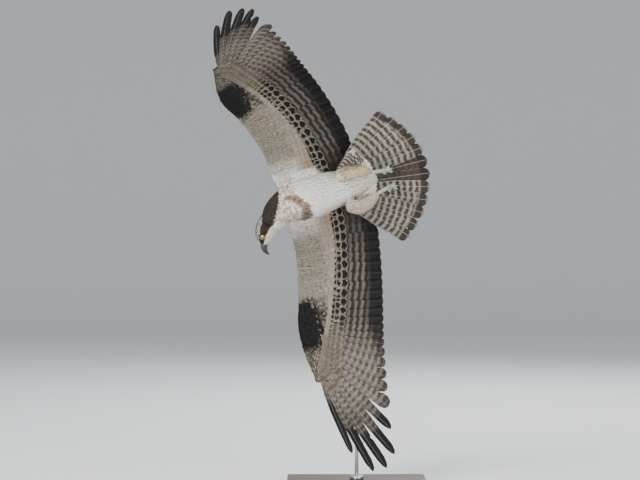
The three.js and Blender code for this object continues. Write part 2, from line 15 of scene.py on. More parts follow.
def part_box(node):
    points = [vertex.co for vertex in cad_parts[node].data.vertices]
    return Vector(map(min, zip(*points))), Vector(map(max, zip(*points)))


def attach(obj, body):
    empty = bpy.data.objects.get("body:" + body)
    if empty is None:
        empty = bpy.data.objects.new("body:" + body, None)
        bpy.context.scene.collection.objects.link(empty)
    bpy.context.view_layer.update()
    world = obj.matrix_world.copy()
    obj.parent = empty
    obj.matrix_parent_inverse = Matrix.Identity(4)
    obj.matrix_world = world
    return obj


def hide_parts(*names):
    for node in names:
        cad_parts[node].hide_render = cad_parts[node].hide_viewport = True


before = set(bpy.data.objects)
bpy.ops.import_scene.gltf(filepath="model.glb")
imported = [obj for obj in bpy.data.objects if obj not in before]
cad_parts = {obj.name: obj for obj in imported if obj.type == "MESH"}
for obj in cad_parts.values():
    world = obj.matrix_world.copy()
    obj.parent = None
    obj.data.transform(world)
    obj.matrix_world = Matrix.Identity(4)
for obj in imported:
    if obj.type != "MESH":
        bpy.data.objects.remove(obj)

log = logging.getLogger("osprey")
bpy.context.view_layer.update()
MM = 0.001
ROOT = "root"
SEED = 7
BAKE_MAP = "OFBake"
Array = np.ndarray
Colour = tuple[float, float, float]


# Shader expressions


class Value:
    """A shader socket that takes part in arithmetic: each operator adds a Math node."""

    def __init__(self, shader: "Shader", socket: bpy.types.NodeSocket) -> None:
        """Keeps the socket and the shader that it belongs to."""
        self.shader = shader
        self.socket = socket

    def _math(self, operation: str, *others: "Value | float") -> "Value":
        """Adds one Math node on this value and the others."""
        inputs = {i: v for i, v in enumerate((self, *others))}
        return self.shader.node("ShaderNodeMath", {"operation": operation}, inputs)

    def __add__(self, other: "Value | float") -> "Value":
        """Sum."""
        return self._math("ADD", other)

    __radd__ = __add__

    def __mul__(self, other: "Value | float") -> "Value":
        """Product."""
        return self._math("MULTIPLY", other)

    __rmul__ = __mul__

    def __sub__(self, other: "Value | float") -> "Value":
        """Difference."""
        return self._math("SUBTRACT", other)

    def __rsub__(self, other: float) -> "Value":
        """A number less this value."""
        return self * -1.0 + other

    def sine(self) -> "Value":
        """Sine, in radians."""
        return self._math("SINE")

    def step(self, low: float, high: float) -> "Value":
        """A smooth rise from 0 at low to 1 at high."""
        settings = {"interpolation_type": "SMOOTHSTEP"}
        inputs = {"Value": self, "From Min": low, "From Max": high}
        return self.shader.node("ShaderNodeMapRange", settings, inputs, "Result")


class Shader:
    """Builds one material's nodes round its Principled shader."""

    def __init__(self, name: str) -> None:
        """Makes the material.

        Args:
            name: the material's name.
        """
        self.material = bpy.data.materials.new(name)
        self.material.use_nodes = True
        self.tree = self.material.node_tree
        self.principled = self.tree.nodes["Principled BSDF"]
        self.material.use_backface_culling = False

    def node(self, kind: str, settings: dict, inputs: dict, output: str | int = 0) -> Value:
        """Adds a node.

        Args:
            kind: the node's type.
            settings: its properties, which are set first.
            inputs: values or links for its sockets, by name or number.
            output: the output socket wanted.
        Returns:
            The output socket as a value.
        """
        made = self.tree.nodes.new(kind)
        for key, setting in settings.items():
            setattr(made, key, setting)
        for key, value in inputs.items():
            self._feed(made.inputs[key], value)
        return Value(self, made.outputs[output])

    def _feed(self, socket: bpy.types.NodeSocket, value: object) -> None:
        """Links a value to a socket, or sets the socket's own number or colour.

        Args:
            socket: the input socket.
            value: a link, a number, or three numbers.
        """
        if isinstance(value, Value):
            self.tree.links.new(value.socket, socket)
        elif isinstance(value, tuple) and len(value) == 3 and socket.type == "RGBA":
            socket.default_value = (*value, 1.0)
        else:
            socket.default_value = value

    def attribute(self, name: str, output: str = "Fac") -> Value:
        """A mesh attribute, as a number or with output Color as a colour."""
        return self.node("ShaderNodeAttribute", {"attribute_name": name}, {}, output)

    def place(self) -> Value:
        """The point on the object."""
        return self.node("ShaderNodeTexCoord", {}, {}, "Object")

    def noise(self, scale: float, detail: float = 2.0, where: Value | None = None) -> Value:
        """Soft noise from 0 to 1 at a scale per metre."""
        inputs = {"Vector": where or self.place(), "Scale": scale, "Detail": detail}
        return self.node("ShaderNodeTexNoise", {}, inputs, "Fac")

    def mix(self, share: Value | float, first: object, second: object) -> Value:
        """A colour between two colours."""
        settings = {"data_type": "RGBA"}
        return self.node("ShaderNodeMix", settings, {0: share, 6: first, 7: second}, 2)

    def finish(
        self, colour: object, roughness: object, bump: Value | None = None, deep: float = 0.0, **fixed: float,
    ) -> None:
        """Connects the shader.

        Args:
            colour: base colour, linked or fixed.
            roughness: roughness, linked or fixed.
            bump: height for the bump, or None.
            deep: the bump's depth in metres.
            fixed: constants of the shader's other sockets, by their name with _ for a space.
        """
        self._feed(self.principled.inputs["Base Color"], colour)
        self._feed(self.principled.inputs["Roughness"], roughness)
        for key, value in fixed.items():
            self.principled.inputs[key.replace("_", " ")].default_value = value
        if bump is not None:
            normal = self.node("ShaderNodeBump", {}, {"Distance": deep, "Height": bump}, "Normal")
            self._feed(self.principled.inputs["Normal"], normal)


# Geometry tools


TANGENT_STEP = 0.01
GRAIN_OF_LIMBS = (0.12, 0.2, 0.97)


class Track:
    """A smooth curve through rows of numbers, read by a key."""

    def __init__(self, rows: Sequence[Sequence[float]], keyed: bool = True) -> None:
        """Keeps the rows and their slopes.

        Args:
            rows: the rows; with keyed, each row's first number is its key.
            keyed: whether rows hold their keys, or lie evenly from 0 to 1.
        """
        table = np.array(rows, float)
        self.keys = table[:, 0] if keyed else np.linspace(0.0, 1.0, len(table))
        self.values = table[:, 1:] if keyed else table
        if self.keys[0] > self.keys[-1]:
            self.keys, self.values = self.keys[::-1], self.values[::-1]
        self.slopes = np.gradient(self.values, self.keys, axis=0)

    def __call__(self, key: float | Array) -> Array:
        """Reads the curve.

        Args:
            key: one key or an array of keys.
        Returns:
            The row of values at the key, or a row for each key.
        """
        key = np.clip(np.asarray(key, float), self.keys[0], self.keys[-1])
        i = np.clip(np.searchsorted(self.keys, key) - 1, 0, len(self.keys) - 2)
        gap = self.keys[i + 1] - self.keys[i]
        t = ((key - self.keys[i]) / gap)[..., None]
        a, b = self.values[i], self.values[i + 1]
        p, q = self.slopes[i] * gap[..., None], self.slopes[i + 1] * gap[..., None]
        rest = (2 * t**3 - 3 * t**2 + 1) * a + (t**3 - 2 * t**2 + t) * p
        return rest + (3 * t**2 - 2 * t**3) * b + (t**3 - t**2) * q

    def tangent(self, key: float) -> Array:
        """The direction of a curve of points at a key from 0 to 1."""
        return unit(self(min(1.0, key + TANGENT_STEP)) - self(max(0.0, key - TANGENT_STEP)))


def ease(value: float | Array, low: float, high: float) -> float | Array:
    """A smooth rise between two ends.

    Args:
        value: the number or numbers read.
        low: where the rise starts, at 0.
        high: where it ends, at 1; it falls where high is the smaller.
    Returns:
        The height of the rise.
    """
    t = np.clip((value - low) / (high - low), 0.0, 1.0)
    return t * t * (3 - 2 * t)


def unit(vector: Array) -> Array:
    """Vectors at length one."""
    return vector / np.maximum(np.linalg.norm(vector, axis=-1, keepdims=True), 1e-9)


def blend_colours(share: Array, first: Colour | Array, second: Colour | Array) -> Array:
    """Colours between two, one for each share."""
    share = np.asarray(share)[..., None]
    return np.asarray(first) * (1 - share) + np.asarray(second) * share


@dataclass(frozen=True)
class Flight:
    """How the bird hangs in the air: heading, dive and bank in degrees, and its place in millimetres."""

    heading: float = 178.0
    dive: float = 17.0
    bank: float = 65.0
    place: tuple[float, float, float] = (-118.0, -90.0, 879.0)

    def matrix(self) -> Matrix:
        """From the bird's frame in millimetres to the part's frame in metres."""
        turn = Euler([math.radians(a) for a in (self.bank, self.dive, self.heading)], "XYZ")
        return Matrix.Translation(Vector(self.place) * MM) @ turn.to_matrix().to_4x4() @ Matrix.Scale(MM, 4)

    def world(self, points: Array) -> Array:
        """Points of the bird's frame, in the part's frame in metres."""
        matrix = np.array(self.matrix())
        return points @ matrix[:3, :3].T + matrix[:3, 3]

    def vector(self, point: Array) -> Vector:
        """One point of the bird's frame, in the part's frame in metres."""
        return Vector(self.world(point[None])[0])


FLIGHT = Flight()


def add_object(name: str, data: bpy.types.ID) -> bpy.types.Object:
    """Makes an object for a mesh, camera or light and puts it into the scene."""
    made = bpy.data.objects.new(name, data)
    bpy.context.scene.collection.objects.link(made)
    return made


def new_piece(name: str, mesh: bpy.types.Mesh, material: bpy.types.Material, slot: str) -> bpy.types.Object:
    """Puts a finished mesh into the scene as a piece that rides with the part.

    Args:
        name: the piece's name.
        mesh: its mesh, in place.
        material: its finish.
        slot: not used.
    Returns:
        The new object.
    """
    made = add_object(name, mesh)
    mesh.materials.clear()
    mesh.materials.append(material)
    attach(made, ROOT)
    log.info("%s: %d faces", name, len(mesh.polygons))
    return made


def mesh_of(shape: bmesh.types.BMesh, name: str) -> bpy.types.Mesh:
    """Turns a bmesh into a smooth mesh with its faces outwards, and frees it.

    Args:
        shape: the bmesh.
        name: the mesh's name.
    Returns:
        The new mesh.
    """
    bmesh.ops.recalc_face_normals(shape, faces=shape.faces)
    mesh = bpy.data.meshes.new(name)
    shape.to_mesh(mesh)
    shape.free()
    mesh.polygons.foreach_set("use_smooth", [True] * len(mesh.polygons))
    return mesh


def write_colours(mesh: bpy.types.Mesh, key: str, colours: Array) -> None:
    """Gives a mesh a colour of three numbers for each point."""
    rgba = np.concatenate([colours, np.ones((len(colours), 1))], axis=1).astype(np.float32)
    mesh.color_attributes.new(key, "FLOAT_COLOR", "POINT").data.foreach_set("color", rgba.ravel())


def write_numbers(mesh: bpy.types.Mesh, key: str, numbers: Array | list) -> None:
    """Gives a mesh a number for each point."""
    mesh.attributes.new(key, "FLOAT", "POINT").data.foreach_set("value", numbers)


def tube(shape: bmesh.types.BMesh, at: Callable, middle: Callable, sides: int, steps: int) -> None:
    """Adds a closed tube to a bmesh, shaped from a ball of rings.

    Args:
        shape: the bmesh.
        at: the skin's point at a place from 0 to 1 along the tube and an angle round it.
        middle: the middle line's point at a place along it.
        sides: corners round it.
        steps: rings along it.
    """
    ball = bmesh.ops.create_uvsphere(shape, u_segments=sides, v_segments=steps, radius=1.0)
    for vert in ball["verts"]:
        t = math.acos(max(-1.0, min(1.0, vert.co.z))) / math.pi
        pole = abs(vert.co.z) > 0.99999
        angle = math.atan2(vert.co.y, vert.co.x)
        vert.co = Vector(middle(t) if pole else at(t, angle))


def limb(
    shape: bmesh.types.BMesh, points: Sequence, halves: Sequence[float], sides: int, steps: int,
    pads: float = 0.0, count: float = 1.0,
) -> None:
    """Adds a round limb along a smooth line of points.

    Args:
        shape: the bmesh.
        points: the limb's middle line.
        halves: its half width, spread evenly over its length.
        sides: corners round it.
        steps: rings along it.
        pads: how far its joints swell, as a share of its half width.
        count: how many joints it has.
    """
    line = Track(points, keyed=False)
    half = Track([[h] for h in halves], keyed=False)
    thinnest = 0.15

    def at(t: float, angle: float) -> Array:
        """The limb's skin."""
        side = unit(np.cross(line.tangent(t), GRAIN_OF_LIMBS))
        top = np.cross(side, line.tangent(t))
        radius = max(thinnest, half(t)[0] * (1 + pads * math.sin(t * count * 2 * math.pi)))
        return line(t) + radius * (side * math.cos(angle) + top * math.sin(angle))

    tube(shape, at, line, sides, steps)


def from_segment(points: Array, start: Array, end: Array) -> tuple[Array, Array]:
    """Where points lie beside a straight stretch.

    Args:
        points: the points.
        start: the stretch's first end.
        end: its last end.
    Returns:
        The share of the way along it, and the distance from it.
    """
    way = end - start
    t = np.clip(((points - start) @ way) / (way @ way), 0, 1)
    return t, np.linalg.norm(points - (start + t[:, None] * way), axis=1)


def power(value: float, exponent: float) -> float:
    """A power that keeps the sign."""
    return math.copysign(abs(value) ** exponent, value)


# The bird's body, in its own frame: x forward, y to its left, z towards its back, in millimetres


@dataclass(frozen=True)
class Axis:
    """A straight axis with the directions across it."""

    origin: tuple[float, float, float]
    forward: tuple[float, float, float]
    left: tuple[float, float, float]
    up: tuple[float, float, float]

    def point(self, along: float, up: float, left: float = 0.0) -> Array:
        """The point so far forward, up and to the left on the axis."""
        out = np.array(self.origin) + along * np.array(self.forward)
        return out + up * np.array(self.up) + left * np.array(self.left)

    def local(self, points: Array) -> Array:
        """Points as their places along, up and left."""
        base = np.array([self.forward, self.up, self.left])
        return (points - np.array(self.origin)) @ base.T


BODY_AXIS = Axis((0, 0, 0), (1, 0, 0), (0, 1, 0), (0, 0, 1))


def head_axis(centre: tuple[float, float, float], turn: float, lift: float) -> Axis:
    """The head's axis, turned to the bird's right, its left side towards the belly.

    Args:
        centre: the skull's middle.
        turn: degrees that it turns to the right.
        lift: degrees that it drops towards the belly.
    Returns:
        The axis.
    """
    a, b = math.radians(turn), math.radians(lift)
    forward = (math.cos(a) * math.cos(b), -math.sin(a) * math.cos(b), -math.sin(b))
    up = (math.sin(a), math.cos(a), 0.0)
    left = tuple(np.cross(up, forward))
    return Axis(centre, forward, left, up)


@dataclass
class Body:
    """Sizes of the fleshy body, and the skin that covers it."""

    torso: tuple = (
        (138, 30, 26, 28), (112, 46, 34, 41), (72, 60, 40, 57), (20, 63, 42, 62),
        (-45, 59, 38, 55), (-100, 47, 31, 41), (-150, 33, 22, 27), (-190, 17, 12, 14),
    )
    neck: tuple = ((90, 0, -6), (118, -8, -8), (141, -27, -10), (160, -45, -11))
    neck_halves: tuple = (50, 46, 41, 33)
    skull: tuple = (
        (-46, 15, 15, 20), (-36, 21, 22, 29), (-16, 26, 28, 35), (4, 27, 29, 36),
        (18, 24.5, 25.5, 32), (30, 18.5, 19.5, 25), (40, 12.5, 11.5, 18.5), (45, 9.5, 7, 14),
    )
    thigh: tuple = ((-70, 46, -30), (-112, 58, -49), (-150, 47, -48), (-173, 35, -43))
    thigh_halves: tuple = (20, 25, 18, 9)
    coat: float = 3.0
    head_coat: float = 1.6
    boxy_torso: float = 0.92
    boxy_skull: float = 0.95
    brow: tuple = ((37, 4, 9), (27, 13, 16), (14, 16.5, 19.5), (-2, 15, 20))
    brow_halves: tuple = (1.6, 3.4, 3.4, 1.2)
    spine_end: tuple = ((60, 0, 0), (-60, 0, 0), (-240, 0, 4))
    head: Axis = field(default_factory=lambda: head_axis((179, -55, -12), 58, 18))
    voxel: float = 3.0

    def _sections(self, shape: bmesh.types.BMesh, rows: tuple, axis: Axis, less: float, boxy: float) -> None:
        """Adds a tube of cross sections along an axis.

        Args:
            shape: the bmesh.
            rows: for each section its place, half width, and height above and below.
            axis: the axis.
            less: how much smaller the tube is all round.
            boxy: the power that squares its corners, 1 for an ellipse.
        """
        size = Track(rows)
        first, last = rows[0][0], rows[-1][0]

        def at(t: float, angle: float) -> Array:
            """The section's skin."""
            along = first + (last - first) * t
            half, above, below = size(along) - less
            side = above if math.sin(angle) > 0 else below
            return axis.point(along, power(math.sin(angle), boxy) * side, power(math.cos(angle), boxy) * half)

        tube(shape, at, lambda t: axis.point(first + (last - first) * t, 0), 32, 26)

    def flesh(self, shape: bmesh.types.BMesh) -> None:
        """Adds the torso, neck, skull and thighs as overlapping closed forms.

        Args:
            shape: the bmesh.
        """
        self._sections(shape, self.torso, BODY_AXIS, self.coat, self.boxy_torso)
        limb(shape, self.neck, [h - self.coat for h in self.neck_halves], 28, 14)
        self._sections(shape, self.skull, self.head, self.head_coat, self.boxy_skull)
        for side in (1, -1):
            points = [(x, side * y, z) for x, y, z in self.thigh]
            limb(shape, points, [h - self.coat for h in self.thigh_halves], 20, 14)
            self._brow(shape, side)

    def _brow(self, shape: bmesh.types.BMesh, side: int) -> None:
        """Adds the ridge that shades the eye."""
        points = [self.head.point(along, up, side * out) for along, up, out in self.brow]
        limb(shape, points, self.brow_halves, 12, 8)

    def lie(self, points: Array) -> Array:
        """The way the coat lies: from the bill back along the head, neck and body, and down the thighs.

        Args:
            points: points of the bird's frame.
        Returns:
            A direction for each.
        """
        head_end, nape = self.head.point(45, 0), self.head.point(-30, 0)
        spine = np.array([head_end, nape, self.neck[2], self.neck[1], *self.spine_end], float)
        total, weight_sum = np.zeros_like(points), np.zeros((len(points), 1))
        for a, b in zip(spine, spine[1:]):
            _, away = from_segment(points, a, b)
            weight = 1.0 / np.maximum(away[:, None], 4.0) ** 4
            total += weight * unit(b - a)
            weight_sum += weight
        way = total / weight_sum
        for side in (1, -1):
            hip, hock = (np.array(self.thigh[i]) * (1.0, side, 1.0) for i in (0, 3))
            _, away = from_segment(points, hip, hock)
            share = ease(away[:, None], 40.0, 22.0) * ease(points[:, 2:3], -18.0, -34.0)
            way = way * (1 - share) + unit(hock - hip) * share
        return unit(way)


BODY = Body()


# The wings


@dataclass(frozen=True)
class WingShape:
    """A wing laid flat, forward and outward, and the bend that its side gives it."""

    side: int
    bend: tuple
    sweep: float
    chord: float
    fingers: tuple
    core: tuple = (
        (128, 10, -30, 12, 17), (153, 62, 22, 66, 15), (160, 170, 36, 182, 11),
        (189, 290, 76, 318, 9),
        (218, 378, 108, 412, 7.5), (223, 450, 130, 484, 5.5), (214, 532, 160, 548, 3.2),
    )
    roots: tuple = (
        (34, 26), (46, 110), (64, 200), (92, 290), (124, 372), (146, 416), (164, 452), (180, 484),
        (196, 510),
    )
    tips: tuple = (
        (-96, 26), (-103, 130), (-86, 240), (-62, 342), (-37, 432), (-12, 520), (18, 640), (60, 800),
        (164, 766),
    )
    count: int = 28
    crowd: float = 0.965
    shorter: float = 0.0
    longer: float = 0.0
    root_height: float = 14.0
    back: float = 43.0
    camber: tuple = (14.0, 60.0, 150.0)
    wrist: float = 400.0
    chord_line: float = 60.0
    span: float = 900.0
    flattest: float = -0.6
    hand: tuple = (400.0, 800.0)

    def bow(self) -> tuple[Array, Array, Array, Array]:
        """The wing's bow, millimetre by millimetre.

        Returns:
            The place along the flat wing, its slope there, and how far across and up that place lies.
        """
        reach = np.arange(0.0, self.span, 1.0)
        knots = np.array(self.bend)
        slopes = np.radians(np.interp(reach, knots[:, 0], knots[:, 1]))
        across = np.concatenate([[0.0], np.cumsum(np.cos(slopes))[:-1]])
        return reach, slopes, across, np.concatenate([[0.0], np.cumsum(np.sin(slopes))[:-1]])

    def arch(self, swept: Array, out: Array) -> Array:
        """How high the wing's camber lifts places, which flattens towards the hand."""
        high, middle, half = self.camber
        rise = np.maximum(1 - ((swept - middle) / half) ** 2, self.flattest)
        return high * rise * (1 - 0.7 * ease(out, *self.hand))

    def place(self, forward: Array, out: Array, height: Array) -> Array:
        """Places flat points in the bird's frame.

        Args:
            forward: how far forward they lie.
            out: how far from the body's middle they lie.
            height: how far over the wing's middle they lie.
        Returns:
            The points.
        """
        reach, slopes, across_table, up_table = self.bow()
        across, up = np.interp(out, reach, across_table), np.interp(out, reach, up_table)
        slope = np.interp(out, reach, slopes)
        fold = np.where(forward < self.chord_line, self.chord, 1.0)
        folded = self.chord_line + (forward - self.chord_line) * fold
        swept = folded - self.sweep * np.maximum(0.0, out - self.wrist)
        h = height + self.arch(swept, out)
        y = self.side * (across - h * np.sin(slope))
        return np.stack([swept - self.back, y, self.root_height + up + h * np.cos(slope)], axis=-1)

    def thickness(self, chord: Array, rear: float = 0.62) -> Array:
        """The core's half thickness over a chord, as a share of its greatest.

        Args:
            chord: places from the leading edge, 0, to the rear, 1.
            rear: the share that is left at the rear.
        Returns:
            The share at each place.
        """
        chord = np.clip(chord, 0, 1)
        return rear + (1 - rear) * np.minimum(1, 2.1 * np.sqrt(chord)) * (1 - chord) ** 0.9

    def core_tube(self, shape: bmesh.types.BMesh, less: float) -> None:
        """Adds the fleshy core.

        Args:
            shape: the bmesh.
            less: how much thinner it is made.
        """
        rows = Track(self.core, keyed=False)

        def flat(t: float, c: float, share: float) -> Array:
            """A point of the core at a share of its thickness."""
            lx, ly, rx, ry, half = rows(t)
            x, y = lx - less + (rx - lx) * c, ly + (ry - ly) * c
            return self.place(np.array([x]), np.array([y]), np.array([share * max(0.6, half - less)]))[0]

        def at(t: float, angle: float) -> Array:
            """The core's skin."""
            c = (1 - math.cos(angle)) / 2
            edge = min(1.0, abs(math.sin(angle)) * 4)
            return flat(t, c, math.copysign(float(self.thickness(np.array(c))) * edge, math.sin(angle)))

        tube(shape, at, lambda t: flat(t, 0.5, 0.0), 28, 60)


LEFT_WING = WingShape(
    side=1,
    bend=((0, 2), (200, -8), (420, -35), (840, -50)),
    sweep=0.055,
    chord=0.965,
    fingers=((63, 757, 16), (71, 809, 16), (96, 831, 15.5), (130, 841, 14.5), (172, 780, 12)),
    crowd=0.982,
    shorter=0.062,
)
RIGHT_WING = WingShape(
    side=-1,
    bend=((0, 0), (200, -8), (420, -26), (840, -32)),
    sweep=0.0,
    chord=1.0,
    fingers=((48, 738, 16), (58, 812, 16), (91, 844, 15.5), (130, 842, 14.5), (174, 772, 12)),
    longer=18.0,
)


@dataclass(frozen=True)
class TailShape:
    """The spread tail: a fan round an apex, in the bird's frame."""

    apex: tuple[float, float] = (-22.0, 12.0)
    middle: float = -4.0
    half: float = 43.0
    root: float = 128.0
    base: float = -7.0
    reach: float = 315.0
    outer_reach: float = 288.0
    pairs: int = 6
    half_width: float = 22.0
    rump: tuple[float, float] = (84.0, 138.0)
    droop: float = 4.0
    dome: float = 16.0

    def place(self, forward: Array, out: Array, height: Array) -> Array:
        """Places flat points in the bird's frame.

        Args:
            forward: how far forward they lie.
            out: how far to the left they lie.
            height: how far over the fan's middle they lie.
        Returns:
            The points.
        """
        x, y = forward - self.apex[0], out - self.apex[1]
        radius = np.hypot(x, y)
        aside = np.arctan2(y, -x) - math.radians(self.middle)
        fall = (radius - self.root) * math.tan(math.radians(self.droop))
        dome = self.dome * (1 - np.cos(aside * 1.6)) * (radius / self.reach)
        return np.stack([forward, out, self.base + height - fall - dome], axis=-1)

    def fan(self, radius: float, aside: float) -> Array:
        """The flat point at a radius from the apex, some degrees to the left of the fan's middle."""
        a = math.radians(aside + self.middle)
        return np.array([self.apex[0] - radius * math.cos(a), self.apex[1] + radius * math.sin(a)])

    def core_tube(self, shape: bmesh.types.BMesh, less: float) -> None:
        """Adds the rump's flat wedge.

        Args:
            shape: the bmesh.
            less: how much thinner it is made.
        """
        near, far = self.rump

        def at(t: float, angle: float) -> Array:
            """The wedge's skin."""
            x, y = self.fan(near + (far - near) * t, -math.cos(angle) * (self.half + 3))
            half = (8 - 2.5 * t - less) * min(1.0, abs(math.sin(angle)) * 3)
            height = math.copysign(half, math.sin(angle))
            return self.place(np.array([x]), np.array([y]), np.array([height]))[0]

        def middle(t: float) -> Array:
            """The wedge's middle line."""
            x, y = self.fan(near + (far - near) * t, 0)
            return self.place(np.array([x]), np.array([y]), np.array([0.0]))[0]

        tube(shape, at, middle, 24, 10)


TAIL = TailShape()


# Markings


@dataclass(frozen=True)
class Palette:
    """The plumage's colours, linear."""

    white: Colour = (0.86, 0.83, 0.77)
    cream: Colour = (0.66, 0.55, 0.38)
    buff: Colour = (0.58, 0.40, 0.20)
    tan: Colour = (0.24, 0.135, 0.066)
    rust: Colour = (0.155, 0.082, 0.042)
    # painted shade: a grey-beige for the underwing's white coverts, standing for the shade that the underwing
    # lies in
    lining: Colour = (0.262, 0.228, 0.178)
    pale: Colour = (0.42, 0.385, 0.335)
    grey: Colour = (0.112, 0.103, 0.093)
    umber: Colour = (0.058, 0.040, 0.029)
    brown: Colour = (0.024, 0.016, 0.012)
    black: Colour = (0.008, 0.007, 0.007)
    shaft: Colour = (0.50, 0.46, 0.39)


PALETTE = Palette()


def blotch(points: Array, size: float, seed: float = 0.0) -> Array:
    """Soft patches.

    Args:
        points: points in millimetres.
        size: about how far apart the patches lie.
        seed: moves the patches, so that two patterns differ.
    Returns:
        A number from 0 to 1 for each point.
    """
    k = 2 * math.pi / size
    x, y, z = points[:, 0] * k, points[:, 1] * k, points[:, 2] * k
    wave = np.sin(x + 1.7 * np.sin(0.61 * y + seed)) + np.sin(1.13 * y + 1.3 * np.sin(0.53 * z + 2 * seed))
    return 0.5 + (wave + np.sin(0.87 * z + 1.9 * np.sin(0.71 * x - seed))) / 6


def near_line(points: Array, line: Sequence, half: Sequence[float]) -> Array:
    """How far inside a stripe points lie: 1 on its middle line and 0 at its edge.

    Args:
        points: the points, of two or three numbers.
        line: the stripe's middle line.
        half: the stripe's half width at each point of the line.
    Returns:
        The share for each point.
    """
    line = np.array(line, float)
    best = np.zeros(len(points))
    for i in range(len(line) - 1):
        t, away = from_segment(points, line[i], line[i + 1])
        wide = half[i] + (half[i + 1] - half[i]) * t
        best = np.maximum(best, 1 - away / wide)
    return best


@dataclass(frozen=True)
class Markings:
    """Where the bird is dark and pale: one set of rules for the skin and for the coat over it."""

    neck_stripe: tuple = ((116, 60), (140, 30), (158, 3), (182, -30))
    neck_stripe_half: tuple = (9, 21, 27, 23)
    eye_stripe: tuple = ((46, -1), (31, 4), (20, 7), (0, 5.5), (-20, 4), (-40, 5))
    eye_stripe_half: tuple = (5, 8, 10.5, 14.5, 17, 20)
    breast: tuple = ((98, 28), (74, 24), (53, -8), (62, -44), (84, -66))
    breast_half: tuple = (7, 11, 17, 19, 16)
    crown_from: tuple = (9.0, 15.0)
    back_from: tuple = (8.0, 18.0)
    wing_root_rise: float = 11.0
    rump_drop: float = 10.0
    patch_edge: tuple = ((300, 330, 400, 470, 520), (176, 158, 156, 178, 196))

    def head(self, points: Array) -> Array:
        """Colours of the head: white throat, streaked crown with a dark middle, and a stripe through the eye.

        Args:
            points: points of the bird's frame.
        Returns:
            A colour for each.
        """
        local = BODY.head.local(points)
        along, up, left = local[:, 0], local[:, 1], local[:, 2]
        spot = blotch(points, 9.0)
        throat = blend_colours(0.15 + 0.45 * spot, PALETTE.white, PALETTE.cream)
        crown = blend_colours(ease(blotch(points, 5.0), 0.4, 0.7) * 0.7, PALETTE.pale, PALETTE.umber)
        middle = ease(np.abs(left), 8.0, 3.0) * ease(along, 30.0, 18.0)
        crown = blend_colours(middle * 0.8, crown, PALETTE.brown)
        colour = blend_colours(ease(up + 3 * spot, *self.crown_from), throat, crown)
        stripe = near_line(local[:, :2] + 1.2 * (spot[:, None] - 0.5), self.eye_stripe, self.eye_stripe_half)
        side = ease(np.abs(left), 4.0, 9.0)
        return blend_colours(ease(stripe, 0.02, 0.2) * side, colour, PALETTE.brown)

    def body(self, points: Array) -> Array:
        """Colours of neck, torso and legs: white and rusty below, brown above, buff on the left thigh, and
        painted shade on the band and flank of the bird's right side.

        Args:
            points: points of the bird's frame.
        Returns:
            A colour for each.
        """
        x, y, z = points[:, 0], points[:, 1], points[:, 2]
        spot = blotch(points, 16.0, 1.0)
        belly = blend_colours(0.22 * spot, PALETTE.white, PALETTE.cream)
        rough = blotch(points, 5.2, 2.0)
        ruff = ease(x, 62, 84) * (0.12 + 0.6 * ease(rough, 0.38, 0.56))
        belly = blend_colours(ruff, belly, PALETTE.tan)
        band = near_line(points[:, :2] + 4 * (rough[:, None] - 0.5), self.breast, self.breast_half)
        belly = blend_colours(ease(band, 0.0, 0.4) * (0.72 + 0.28 * rough), belly, PALETTE.rust)
        # painted shade: the breast band darker on the bird's right side, which lies away from the light
        band_painted_shade = ease(band, 0.1, 0.6) * ease(-y, -6, 30) * (0.4 + 0.55 * rough)
        belly = blend_colours(band_painted_shade, belly, PALETTE.umber)
        # painted shade: tan over the right flank and right thigh, the side that lies in shade
        right_flank_painted_shade = ease(-y, 14, 46) * ease(x, 40, -40) * (0.45 + 0.3 * rough)
        belly = blend_colours(right_flank_painted_shade, belly, PALETTE.tan)
        neck = near_line(points[:, :2] + 4 * (rough[:, None] - 0.5), self.neck_stripe, self.neck_stripe_half)
        belly = blend_colours(ease(neck, 0.0, 0.25) * ease(x, 108, 118), belly, PALETTE.brown)
        back = blend_colours(0.5 * spot, PALETTE.brown, PALETTE.umber)
        rise = ease(x, -70, -40) * ease(x, 118, 108) * ease(np.abs(y), 34, 46) * self.wing_root_rise
        rise = rise - self.rump_drop * ease(x, -88, -112)
        colour = blend_colours(ease(z - rise + 5 * (spot - 0.5), *self.back_from), belly, back)
        thigh = ease(x, -62, -82) * ease(y, 24, 40) * ease(z, 2, -20)
        colour = blend_colours(thigh * 0.75, colour, PALETTE.buff)
        rusty = ease(x, -112, -92) * ease(rough, 0.4, 0.7) * thigh
        colour = blend_colours(rusty * 0.6, colour, PALETTE.tan)
        vent = ease(x, -96, -120) * ease(rough, 0.3, 0.7) * ease(z, 0, -16)
        return blend_colours(vent * 0.35, colour, PALETTE.buff)

    def wing(self, forward: Array, out: Array, above: Array) -> Array:
        """Colours of a wing's short coverts, with painted shade greying the lower side's white.

        Args:
            forward: how far forward they lie on the flat wing.
            out: how far out they lie.
            above: 1 for the upper side and 0 for the lower.
        Returns:
            A colour for each.
        """
        flat = np.stack([forward, out, np.zeros_like(out)], axis=1)
        spot = blotch(flat, 9.0, 3.0)
        fine = blotch(flat, 4.3, 6.0)
        streaks = blotch(flat * (1, 0.25, 1), 10.0, 8.0)
        white = ease(out, 150, 60) * ease(forward, 40, 110)
